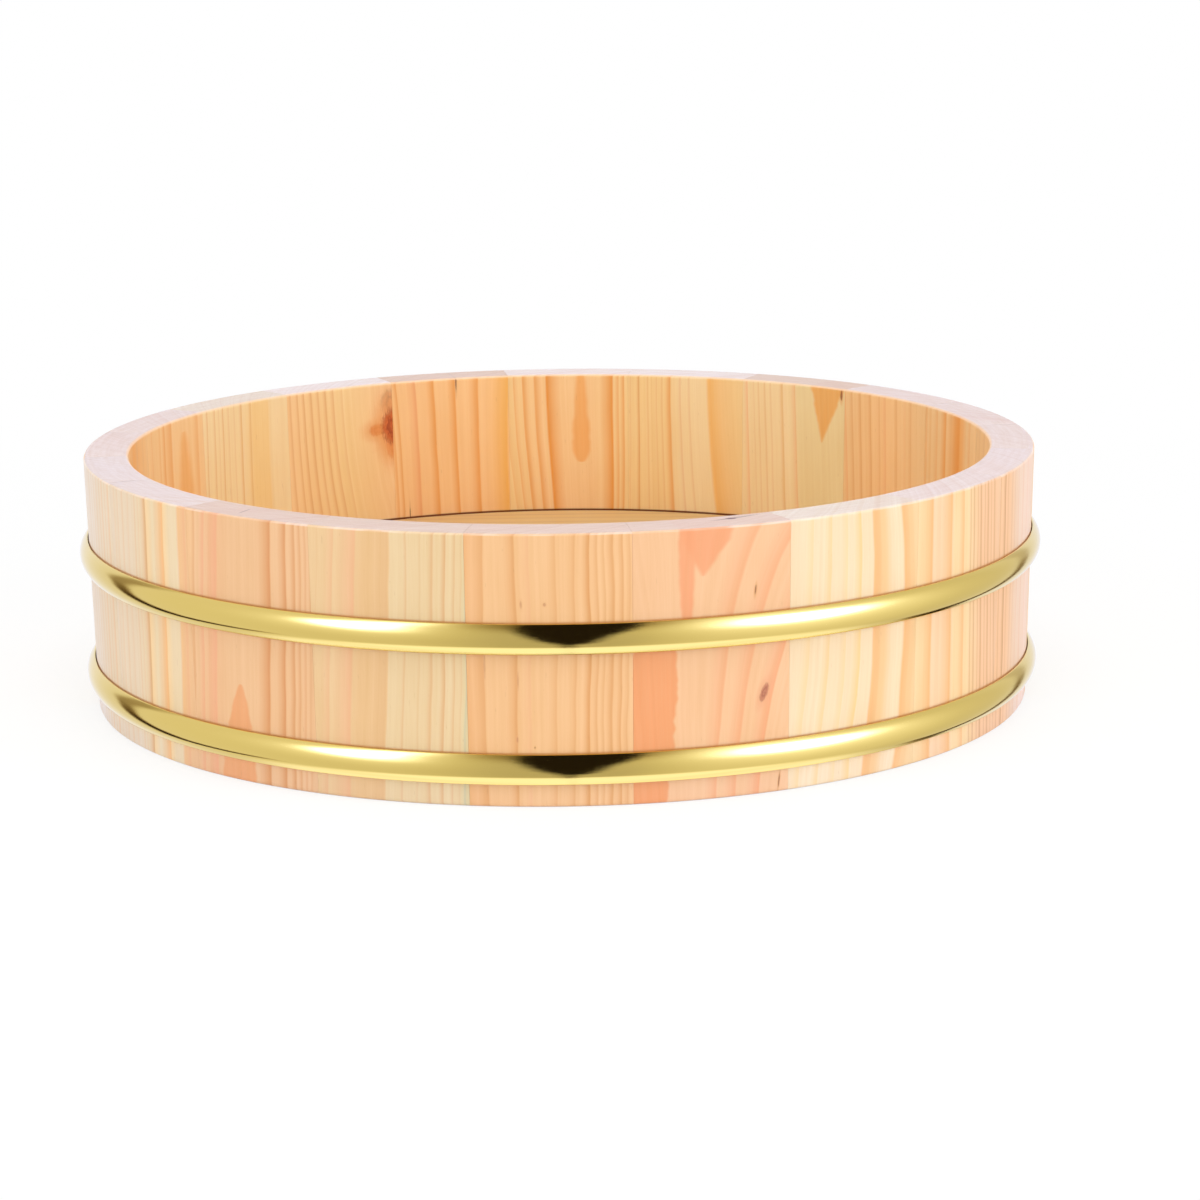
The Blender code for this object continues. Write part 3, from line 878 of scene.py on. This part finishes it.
def addFigure(tree, colour, look, across, up, fibre):
    # flames, then knots over them
    width = staveSpan[0]
    least, added = staveWood["flamePatches"]
    patchy = least + fibre["Fibre"] * added
    for at, tip, halfWidth, opens, lean, narrowing, straight, tone, *soft in look.get("flames", []):
        mask = useGroup(tree, flameGroup, {
            "Across": across, "Up": up, "Middle": at * width, "Tip": tip, "Half width": halfWidth,
            "Opens": opens, "Lean": lean, "Narrowing": narrowing, "Straight": straight,
            "Softness": soft[0] if soft else 0.5, "Seed": look["seed"],
        })["Mask"]
        colour = blend(mask * patchy, colour, screenTone(*woodTones[tone]))
    for at, height, halfWidth, halfHeight, tilt, depth, kind in look.get("knots", []):
        knot = useGroup(tree, knotGroup, {
            "Across": across, "Up": up, "Middle": at * width, "Height": height, "Half width": halfWidth,
            "Half height": halfHeight, "Tilt": tilt, "Seed": look["seed"] + height,
        })
        halo, light, dark = [screenTone(*tone) for tone in knotTones[kind]]
        colour = blend(knot["Halo"] * (staveWood["haloShare"] * depth), colour, halo)
        colour = blend(knot["Heart"] * depth, colour, blend(knot["Rings"], dark, light))
    return colour


def addChips(tree, look, across, inward, risen):
    # how much of the rim's end grain is hidden by dark chips
    chips = 0.0
    for at, middle, halfWidth, halfDepth, tilt, darkness in look.get("chips", []):
        chip = useGroup(tree, knotGroup, {
            "Across": across, "Up": inward, "Middle": at * staveSpan[0], "Height": middle,
            "Half width": halfWidth, "Half height": halfDepth, "Tilt": tilt, "Seed": look["seed"] + at,
        })["Heart"]
        chips = highest(chips, chip * fade(risen, *staveWood["chipsAbove"], 0.0, darkness))
    return chips


def makeStaveWood(name, look):
    fromInside = look["seen"] == "inside"
    look = mirrored(look) if fromInside else look
    material, tree = newMaterial(name + " wood")
    place = addNode(tree, "ShaderNodeAttribute", attribute_name="inPiece").outputs["Vector"]
    bow = look.get("bow", (0.0, 0.0))
    ringPlace = useGroup(tree, grainGroup, {
        "Place": place, "Lean left": look["lean"][0], "Lean right": look["lean"][1],
        "Bow left": bow[0], "Bow right": bow[1], "Through": staveWood["through"],
        "Seen face": 1.0 if fromInside else 0.0, "Wander": look.get("wander", staveWood["wander"]),
        "Seed": look["seed"],
    })["Ring place"]
    ramp = addNode(tree, "ShaderNodeValToRGB", {"Fac": (ringPlace - curveStart) / curveSpan})
    while len(ramp.color_ramp.elements) < len(look["tones"]):
        ramp.color_ramp.elements.new(0.5)
    for stop, (at, tone) in zip(ramp.color_ramp.elements, look["tones"]):
        stop.position = (at - curveStart) / curveSpan
        stop.color = screenTone(*woodTones[tone])
    scaling = {0: place, 1: staveSpan}
    millimetres = addNode(tree, "ShaderNodeVectorMath", scaling, operation="MULTIPLY").outputs[0]
    across, inward, up = split(millimetres)
    _, deep, risen = split(place)
    fibre = useGroup(tree, fibreGroup, {
        "Millimetres": millimetres, "Ring millimetres": ringPlace * staveSpan[0], "Seed": look["seed"],
    })
    colour, strength = addRings(ramp.outputs["Color"], look, ringPlace, fibre)
    colour = addFigure(tree, colour, look, across, up, fibre)
    colour = addPaintedLight(colour, deep, up, fibre["Cloud"])
    endGrain = highest(fade(risen, *staveWood["rimEnd"]), fade(risen, *staveWood["footEnd"]))
    finishWood(tree, {
        "Colour": colour, "Ring strength": strength, "Line contrast": staveWood["lineContrast"],
        "End grain": endGrain * fade(deep, *staveWood["endInside"]),
        "End colour": screenTone(*endTones[look.get("end", "plain")]),
        "Chips": addChips(tree, look, across, inward, risen),
        "Chip colour": screenTone(*staveWood["chipTone"]),
    }, fibre, staveWood["bump"])
    return material


def staveSection():
    # a stave's closed section, with the floor's groove across the inside
    s = tubSizes
    foot, rim = 0.0, s["height"]
    corners = [
        (innerRadius(rim), rim), (outerRadius(rim), rim),
        (outerRadius(foot), foot), (innerRadius(foot), foot),
    ]
    points = []
    for i in range(4):
        points += easedCorner(corners[i - 1], corners[i], corners[(i + 1) % 4], s["edgeEase"])
    # up the inside again, round the groove
    tongueLow = s["floorTop"] - s["floorThickness"] + s["tongueShoulder"] - s["grooveClearance"]
    tongueHigh = s["floorTop"] - s["tongueShoulder"] + s["grooveClearance"]
    deep = innerRadius(tongueLow) + s["tongueReach"] + s["grooveClearance"]
    points += [Vector((innerRadius(tongueLow), tongueLow)), Vector((deep, tongueLow)),
               Vector((deep, tongueHigh)), Vector((innerRadius(tongueHigh), tongueHigh))]
    return closedOutline("stave section", points)


turnTree = makeTurnTree()
section = staveSection()
gapAngle = tubSizes["jointGap"] / tubSizes["rimRadius"]
for number in range(tubSizes["staves"]):
    node = f"stave_{number + 1:02d}"
    stave = growPiece("dressed_" + node, section, turnTree, {
        "Start angle": tubSizes["frontJoint"] - math.pi / 2 + number * staveAngle + gapAngle / 2,
        "Sweep angle": staveAngle - gapAngle,
        "Steps": tubSizes["turnSteps"],
        "Rim radius": tubSizes["rimRadius"],
        "Taper": tubSizes["taper"],
        "Depth": tubSizes["wall"],
        "Height": tubSizes["height"],
        "Material": makeStaveWood(node, staveLooks[node]),
    }, tubSizes["jointEase"])
    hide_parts(node)
    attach(stave, "root")
print("staves made")

# floor boards

floorLook = {
    "boards": 4,
    "gap": 0.0002,
    "edgeGap": 0.0002,
    "joint": 0.00025,  # easing of the boards' edges
    "steps": 180,
    "cutter": (0.4, 0.1),  # length and height of the block that cuts out a board, more than any board's
    "tones": [(221, 188, 129), (217, 182, 120), (223, 192, 133), (219, 186, 126)],
    "ring": (182, 129, 68),
    "ringShare": 0.42,
    "ringEdge": (0.48, 0.68),  # noise values where a ring begins and is full
    "ringScale": 0.33,
    "seedSpread": 53.0,  # how far along the rings one seed lies from the next
    "drift": 16.0,  # millimetres that the rings wander sideways along a board
    "driftScale": (0.006, 0.03),  # how fast that changes in a millimetre along and across the board
    "ringTilt": 0.6,
    "lineContrast": 0.22,
    "bump": 0.3,
    "seeds": (31.0, 3.7),  # the first board's, and what each next one adds
}


def makeBoardTree():
    # a rebated disc, cut to one board
    tree, given, result = newGroup("floor board", "GeometryNodeTree", {
        "Seed mesh": "Geometry", "Disc radius": 0.118, "Tongue radius": 0.122, "Top": 0.0268,
        "Thickness": 0.01, "Shoulder": 0.002, "Board front": 0.0, "Board back": 0.06,
        "Material": "Material",
    }, {"Board": "Geometry"})
    middle = given["Top"] - given["Thickness"] * 0.5
    tongue = given["Thickness"] - given["Shoulder"] * 2.0
    whole = addNode(tree, "GeometryNodeMeshBoolean", operation="UNION", solver="EXACT")
    for radius, thickness in ((given["Disc radius"], given["Thickness"]), (given["Tongue radius"], tongue)):
        size = {"Vertices": floorLook["steps"], "Radius": radius, "Depth": thickness}
        disc = addNode(tree, "GeometryNodeMeshCylinder", size).outputs[0]
        lift = {"Geometry": disc, "Translation": join(0.0, 0.0, middle)}
        fill(whole.inputs[1], addNode(tree, "GeometryNodeTransform", lift).outputs[0])
    width = given["Board back"] - given["Board front"]
    centre = (given["Board back"] + given["Board front"]) * 0.5
    length, height = floorLook["cutter"]
    cutter = addNode(tree, "GeometryNodeMeshCube", {"Size": join(length, width, height)}).outputs[0]
    shift = {"Geometry": cutter, "Translation": join(0.0, centre, middle)}
    board = addNode(tree, "GeometryNodeMeshBoolean", operation="INTERSECT", solver="EXACT")
    fill(board.inputs[1], whole.outputs[0])
    fill(board.inputs[1], addNode(tree, "GeometryNodeTransform", shift).outputs[0])
    return endTree(tree, board.outputs[0], given["Material"], result["Board"])


def inMillimetres(tree):
    # the surface's own place, as x, y and z
    place = addNode(tree, "ShaderNodeTexCoord").outputs["Object"]
    scaling = {0: place, "Scale": 1000.0}
    return split(addNode(tree, "ShaderNodeVectorMath", scaling, operation="SCALE").outputs[0])


def makeBoardWood(name, tone, seed):
    material, tree = newMaterial(name)
    x, y, z = inMillimetres(tree)
    driftAlong, driftAcross = floorLook["driftScale"]
    drift = noise(join(x * driftAlong, y * driftAcross, 0.0), 2.0, 0.5, seed)
    ringPlace = y + drift * floorLook["drift"] + z * floorLook["ringTilt"]
    fibre = useGroup(tree, fibreGroup, {
        "Millimetres": join(y, z, x), "Ring millimetres": ringPlace, "Seed": seed,
    })
    rings = lineNoise(ringPlace + seed * floorLook["seedSpread"], floorLook["ringScale"], 1.5)
    strength = fade(rings, *floorLook["ringEdge"])
    ringTone = screenTone(*floorLook["ring"])
    colour = blend(strength * floorLook["ringShare"], screenTone(*tone), ringTone)
    finishWood(tree, {
        "Colour": colour, "Ring strength": strength, "Line contrast": floorLook["lineContrast"],
    }, fibre, floorLook["bump"])
    return material


boardTree = makeBoardTree()
dot = bpy.data.meshes.new("board seed")
tongueLow = tubSizes["floorTop"] - tubSizes["floorThickness"] + tubSizes["tongueShoulder"]
discRadius = innerRadius(tubSizes["floorTop"] - tubSizes["floorThickness"]) - floorLook["edgeGap"]
tongueRadius = innerRadius(tongueLow) + tubSizes["tongueReach"]
boardWidth = 2 * tongueRadius / floorLook["boards"]
firstSeed, seedStep = floorLook["seeds"]
for number in range(floorLook["boards"]):
    node = f"floor_board_{number + 1}"
    front = -tongueRadius + number * boardWidth + floorLook["gap"] / 2
    board = growPiece("dressed_" + node, dot, boardTree, {
        "Disc radius": discRadius,
        "Tongue radius": tongueRadius,
        "Top": tubSizes["floorTop"],
        "Thickness": tubSizes["floorThickness"],
        "Shoulder": tubSizes["tongueShoulder"],
        "Board front": front,
        "Board back": front + boardWidth - floorLook["gap"],
        "Material": makeBoardWood(node + " wood", floorLook["tones"][number], firstSeed + seedStep * number),
    }, floorLook["joint"])
    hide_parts(node)
    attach(board, "root")
print("floor made")


# hoops

hoopLook = {
    "depth": 0.0025,
    "metal": 0.0008,
    "snug": 0.00015,  # left between the hoop and the wall
    "gapAbove": 0.00034,  # the same at the upper lip
    "steps": 240,
    "seamGap": 0.00012,
    "seamAngle": math.radians(118),  # behind the tub, where the strip's ends meet
    "crown": 0.00187,  # how far the face bulges past its lips
    "steepest": math.radians(37.5),  # the face's lower part leans no further in than this
    "shoulder": 0.00032,
    "facePoints": 22,
    "colour": (0.83, 0.62, 0.176, 1),
    "speckColour": (0.6, 0.40, 0.11, 1),
    "speckShare": 0.25,  # how much of its colour a speck shows
    "specks": (0.68, 0.78),  # noise values where a speck begins and is full
    "length": 840.0,  # millimetres round the hoop
    # how fast each pattern changes, in a millimetre round the hoop and over its whole height
    "markScale": (0.05, 120.0),
    "speckScale": (0.8, 6.0),
    "roughness": 0.05,
    "markRoughness": 0.05,  # what polishing marks and specks add to it
    "speckRoughness": 0.08,
    "markDepth": 0.0001,
}


def hoopSection(node):
    # a crowned strip with turned-in lips and a hollow back
    look = hoopLook
    middle, half = tubSizes["hoopMiddles"][node], tubSizes["hoopHeight"] / 2
    depth, crown, metal = look["depth"], look["crown"], look["metal"]
    back = outerRadius(middle) + look["snug"]
    backAbove = outerRadius(middle + half) + look["gapAbove"]
    bend = (half * half + crown * crown) / (2 * crown)  # radius of the crowned face
    slope = math.tan(look["steepest"])
    low = -bend * math.sin(look["steepest"])
    face = []
    for step in range(look["facePoints"] + 1):
        rise = half * (1 - 2 * step / look["facePoints"])
        bulge = math.sqrt(bend * bend - max(rise, low) ** 2) + min(rise - low, 0) * slope
        face.append((back + depth - bend + bulge, middle + rise))
    top, foot = (backAbove, middle + half), (back, middle - half)
    upperLip = easedCorner(top, face[0], face[1], look["shoulder"])
    lowerLip = easedCorner(face[-2], face[-1], foot, look["shoulder"])
    # the hollow back, from the lower lip to the upper one
    inner = half - metal
    lipDepth = back + depth - crown - metal * 0.4
    hollow = [
        (back, middle - inner), (lipDepth, middle - inner), (back + depth - metal, middle),
        (lipDepth, middle + inner), (backAbove, middle + inner),
    ]
    return closedOutline(node + " section", [top, *upperLip, *face[2:-2], *lowerLip, foot, *hollow])


def makeGilt():
    look = hoopLook
    material, tree = newMaterial("gilt metal")
    shader = tree.nodes["Principled BSDF"].inputs
    shader["Metallic"].default_value = 1.0
    place = addNode(tree, "ShaderNodeAttribute", attribute_name="inPiece").outputs["Vector"]
    share, _, risen = split(place)
    along = share * look["length"]
    # long polishing marks, and a few specks
    markScale, speckScale = look["markScale"], look["speckScale"]
    marks = noise(join(along * markScale[0], 0.0, risen * markScale[1]), 3.0, 0.6)
    specks = noise(join(along * speckScale[0], 0.0, risen * speckScale[1]), 2.0, 0.5)
    specks = fade(specks, *look["specks"])
    rough = look["roughness"] + marks * look["markRoughness"] + specks * look["speckRoughness"]
    fill(shader["Roughness"], rough)
    fill(shader["Base Color"], blend(specks * look["speckShare"], look["colour"], look["speckColour"]))
    relief = {"Strength": 0.05, "Distance": look["markDepth"], "Height": marks}
    fill(shader["Normal"], addNode(tree, "ShaderNodeBump", relief).outputs[0])
    layOut(tree)
    return material


gilt = makeGilt()
for node, middle in tubSizes["hoopMiddles"].items():
    radius = outerRadius(middle)
    hoop = growPiece("dressed_" + node, hoopSection(node), turnTree, {
        "Start angle": hoopLook["seamAngle"] + hoopLook["seamGap"] / radius / 2,
        "Sweep angle": 2 * math.pi - hoopLook["seamGap"] / radius,
        "Steps": hoopLook["steps"],
        "Rim radius": radius,
        "Depth": hoopLook["depth"],
        "Height": tubSizes["hoopHeight"],
        "Material": gilt,
    }, sharp=50)
    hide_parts(node)
    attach(hoop, "root")
print("hoops made")

# pegs, which stay as the frame has them

pegLook = {"colour": (0.72, 0.52, 0.26, 1), "lineContrast": 0.5, "seed": 61.0}


def makeBamboo():
    material, tree = newMaterial("bamboo peg")
    x, y, z = inMillimetres(tree)
    fibre = useGroup(tree, fibreGroup, {
        "Millimetres": join(z, y, x), "Ring millimetres": z, "Seed": pegLook["seed"],
    })
    finishWood(tree, {"Colour": pegLook["colour"], "Line contrast": pegLook["lineContrast"]}, fibre)
    return material


bamboo = makeBamboo()
for name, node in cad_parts.items():
    if "peg" in name:
        for materialSlot in node.material_slots:
            materialSlot.material = bamboo
print("pegs finished")

# floor and light

studio = {
    "worldLight": 0.64,
    "floorRadius": 14,
    "floorTone": (0.95, 0.95, 0.95, 1),  # as the light that bounces off it sees it
    "floorGlow": 0.78,  # share of the floor's own white in the camera's view, near the tub
    "glowReach": (0.22, 0.5),  # metres over which the floor turns to plain white
    "lampAim": (0, 0, 0.03),
    "lamps": [
        # name, place, size, power
        ("left lamp", (-1.4, -0.75, 0.8), 0.9, 5.0),
        ("right lamp", (1.4, -0.75, 0.8), 0.9, 6.8),
        ("top lamp", (0.0, -0.5, 1.45), 1.0, 7.5),
    ],
}


def addMesh(name, meshName, bm, material):
    mesh = bpy.data.meshes.new(meshName)
    bm.to_mesh(mesh)
    bm.free()
    mesh.materials.append(material)
    return addObject(name, mesh)


def makeStudioFloor():
    bm = bmesh.new()
    bmesh.ops.create_circle(bm, cap_ends=True, segments=64, radius=studio["floorRadius"])
    material, tree = newMaterial("white floor")
    tree.nodes.clear()
    path = addNode(tree, "ShaderNodeLightPath").outputs
    matt = addNode(tree, "ShaderNodeBsdfDiffuse", {"Color": studio["floorTone"]}).outputs[0]
    seenMatt = addNode(tree, "ShaderNodeBsdfDiffuse", {"Color": white}).outputs[0]
    glow = addNode(tree, "ShaderNodeEmission", {"Color": white, "Strength": 1.0}).outputs[0]
    place = addNode(tree, "ShaderNodeTexCoord").outputs["Object"]
    away = addNode(tree, "ShaderNodeVectorMath", {0: place}, operation="LENGTH").outputs["Value"]
    share = fade(away, *studio["glowReach"], studio["floorGlow"], 1.0)
    seen = addNode(tree, "ShaderNodeMixShader", {0: share, 1: seenMatt, 2: glow}).outputs[0]
    chosen = addNode(tree, "ShaderNodeMixShader", {0: path["Is Camera Ray"], 1: matt, 2: seen}).outputs[0]
    addNode(tree, "ShaderNodeOutputMaterial", {0: chosen})
    layOut(tree)
    floor = addMesh("studioFloor", "studio floor", bm, material)
    floor.visible_glossy = False


def makeWorld():
    world = bpy.data.worlds.new("studio")
    bpy.context.scene.world = world
    world.use_nodes = True
    world.cycles.sampling_method = "NONE"
    tree = world.node_tree
    tree.nodes.clear()
    path = addNode(tree, "ShaderNodeLightPath").outputs
    mirrors = highest(path["Is Glossy Ray"], path["Is Transmission Ray"])
    shown = highest(path["Is Camera Ray"], mirrors)
    strength = studio["worldLight"] + shown * (1.0 - studio["worldLight"])
    sky = addNode(tree, "ShaderNodeBackground", {"Color": white, "Strength": strength}).outputs[0]
    addNode(tree, "ShaderNodeOutputWorld", {0: sky})
    layOut(tree)


def makeLamp(name, place, size, power):
    data = bpy.data.lights.new(name, "AREA")
    data.shape = "DISK"
    data.size = size
    data.energy = power
    lamp = addObject(name, data)
    lamp.location = place
    lamp.rotation_euler = (Vector(studio["lampAim"]) - Vector(place)).to_track_quat("-Z", "Y").to_euler()
    lamp.visible_glossy = False
    lamp.visible_camera = False


# a painted reflection: this sphere glows only for mirror rays and lights nothing
# what the polished hoops mirror; directions are degrees round from -Y towards +X, and up
reflectionTentLook = {
    "radius": 5.0,
    # how light the surroundings are, by degrees round
    "walls": [
        (-180, 0.95), (-150, 0.97), (-132, 0.88), (-118, 0.87), (-90, 0.86), (-42, 0.8), (-30, 0.72),
        (-15, 0.6), (0, 0.57), (15, 0.6), (24, 0.72), (36, 0.82), (58, 0.88), (90, 0.86), (106, 0.78),
        (122, 0.76), (140, 0.84), (152, 0.94), (180, 0.95),
    ],
    "table": (-46, -58),  # the white table shows below these
    # how light the table is, by degrees round from the front, to both sides
    "tableLight": [(0, 1.36), (60, 1.34), (85, 1.22), (115, 1.27), (135, 1.15), (160, 0.95), (180, 0.95)],
    # painted softboxes, which glow only in reflections
    "softboxes": [
        # round, up, tilt, half width, half height, strength, and the last three again for its glow
        (-57, 42, -0.72, 17, 21, 2.2, 25, 36, 0.5),
        (61, 30, 0.15, 20, 22, 2.3, 29, 44, 0.68),
    ],
    "boxSharpness": 1.6,
    # bright light washes the metal's colour out, as it does in a photograph: from this light on, green and
    # blue gain these shares of what is above it
    "washFrom": 0.75,
    "washGreen": 0.13,
    "washBlue": 0.8,
    # painted dark camera stand between the softboxes: degrees over the top, left edge, right edge
    "stand": [
        (-180, 0.02, 0.02), (-60, 0.02, 0.02), (-50, 0.006, 0.034), (-37, 0.0, 0.035), (-26, -0.035, 0.11),
        (-12, -0.09, 0.145), (14, -0.145, 0.19), (39, -0.165, 0.24), (60, -0.15, 0.235), (76, -0.12, 0.21),
        (87, -0.09, 0.19), (90, -0.09, 0.19), (180, 0.02, 0.02),
    ],
    "standEdge": 0.006,
    "standEnd": (89, 86),  # degrees over the top
    "standTone": (0.016, 0.012, 0.01, 1),
    "standMiddle": 0.035,
    "standShade": (0.42, 0.15, 0.62),  # sideways from and to, and depth, of the shade round its top
    "shadeRise": (20, 80),  # degrees over the top where the shade grows, and where it ends
    "shadeEnd": (100, 92),
    # half shade is warm, so green and blue go first
    "shadeGreen": 1.2,
    "shadeBlue": 1.6,
    # painted dark patches at the sides: degrees up, degrees round, half width, darkness
    "sideDarkPatches": [
        [
            (-90, -90, 6, 0), (-46, -90, 6, 0), (-44, -94, 7, 0.4), (-42, -98, 8.5, 0.95),
            (-39, -106, 8.5, 1.0), (-36, -112.5, 8, 1.0), (-32, -118.5, 6.2, 1.0), (-23, -120.5, 4.4, 1.0),
            (-13, -121.5, 4.0, 0.94), (0, -122.5, 4.5, 0.75), (8, -125.5, 5.5, 0.6), (25, -128, 6, 0.5),
            (45, -130, 5, 0), (90, -130, 5, 0),
        ],
        [
            (-90, 124, 4, 0), (-47, 128, 4, 0), (-45, 131, 4, 0.3), (-43, 133.5, 4.4, 0.85),
            (-40, 137.5, 4.2, 1.0), (-30, 140.5, 3.3, 0.95), (-16, 139.2, 3.1, 0.82), (-7, 137.6, 3.4, 0.65),
            (2, 138.5, 4, 0.3), (20, 143, 4.5, 0.2), (45, 145, 4, 0), (90, 145, 4, 0),
        ],
    ],
    "sideEdge": (1.6, 0.4),  # where a side stand begins and is full, in half widths
}


def plotColumns(value, rows):
    # a plot for each column of the rows after the first
    return [plot(value, [(row[0], row[i]) for row in rows]) for i in range(1, len(rows[0]))]


def bellOf(across, along, sharpness):
    # a soft round patch of light, flatter on top where it is sharper
    far = across * across + along * along
    return calc("EXPONENT", -(far ** sharpness))


def makePaintedReflectionTent():
    look = reflectionTentLook
    bm = bmesh.new()
    bmesh.ops.create_uvsphere(bm, u_segments=64, v_segments=32, radius=look["radius"])
    bmesh.ops.reverse_faces(bm, faces=bm.faces)
    material, tree = newMaterial("painted reflection tent")
    material.cycles.emission_sampling = "NONE"
    tree.nodes.clear()
    place = addNode(tree, "ShaderNodeTexCoord").outputs["Object"]
    aim = addNode(tree, "ShaderNodeVectorMath", {0: place}, operation="NORMALIZE").outputs[0]
    x, y, z = split(aim)
    toDegrees = 180 / math.pi
    turned = calc("ARCTAN2", x, -y) * toDegrees
    up = calc("ARCSINE", z) * toDegrees
    over = calc("ARCTAN2", z, -y) * toDegrees
    walls = plot(turned, look["walls"])
    table = plot(calc("ABSOLUTE", turned), look["tableLight"])
    light = walls + (table - walls) * fade(up, *look["table"])
    for centre, raised, tilt, wide, tall, strength, glowWide, glowTall, glowStrength in look["softboxes"]:
        across = turned - centre
        along = up - raised - across * tilt
        light = light + bellOf(across / wide, along / tall, look["boxSharpness"]) * strength
        light = light + bellOf(across / glowWide, along / glowTall, 1.0) * glowStrength
    washed = highest(light - look["washFrom"], 0.0)
    green = light * (washed * look["washGreen"] + 1.0)
    blue = light * (washed * look["washBlue"] + 1.0)
    # the painted dark stand over the camera, and its painted shade
    leftEdge, rightEdge = plotColumns(over, look["stand"])
    soft = look["standEdge"]
    stand = fade(x - leftEdge, -soft, soft) * fade(rightEdge - x, -soft, soft) * fade(over, *look["standEnd"])
    far, near, depth = look["standShade"]
    shade = fade(calc("ABSOLUTE", x - look["standMiddle"]), far, near) * depth
    shade = shade * (fade(over, *look["shadeRise"]) * fade(over, *look["shadeEnd"]))
    dark = highest(stand, shade)
    for rows in look["sideDarkPatches"]:
        middle, half, depth = plotColumns(up, rows)
        off = calc("ABSOLUTE", turned - middle) / half
        dark = highest(dark, fade(off, *look["sideEdge"]) * depth)
    left = 1.0 - dark
    shades = join(left, left ** look["shadeGreen"], left ** look["shadeBlue"])
    colour = blend(1.0, join(light, green, blue), shades, "MULTIPLY")
    colour = blend(dark, colour, look["standTone"], "ADD")
    glow = addNode(tree, "ShaderNodeEmission", {"Color": colour, "Strength": 1.0}).outputs[0]
    addNode(tree, "ShaderNodeOutputMaterial", {0: glow})
    layOut(tree)
    tent = addMesh("paintedReflectionTent", "painted reflection tent", bm, material)
    for way in ("camera", "diffuse", "transmission", "volume_scatter", "shadow"):
        setattr(tent, "visible_" + way, False)


makeStudioFloor()
makePaintedReflectionTent()
makeWorld()
for lamp in studio["lamps"]:
    makeLamp(*lamp)
print("studio lit")

# camera

cameraLook = {
    "place": (0.0, -0.98043, 0.24068),
    "aim": (0.01089, 0.0, 0.02382),
    "lens": 106.13,
    "roll": math.radians(-0.665),
}
cameraData = bpy.data.cameras.new("camera")
cameraData.lens = cameraLook["lens"]
cameraData.sensor_width = 36
cameraData.clip_start = 0.01
camera = addObject("camera", cameraData)
camera.location = cameraLook["place"]
gaze = Vector(cameraLook["aim"]) - Vector(cameraLook["place"])
camera.rotation_mode = "QUATERNION"
camera.rotation_quaternion = gaze.to_track_quat("-Z", "Y") @ Euler((0, 0, cameraLook["roll"])).to_quaternion()
bpy.context.scene.camera = camera
bpy.context.scene.view_settings.view_transform = "Standard"
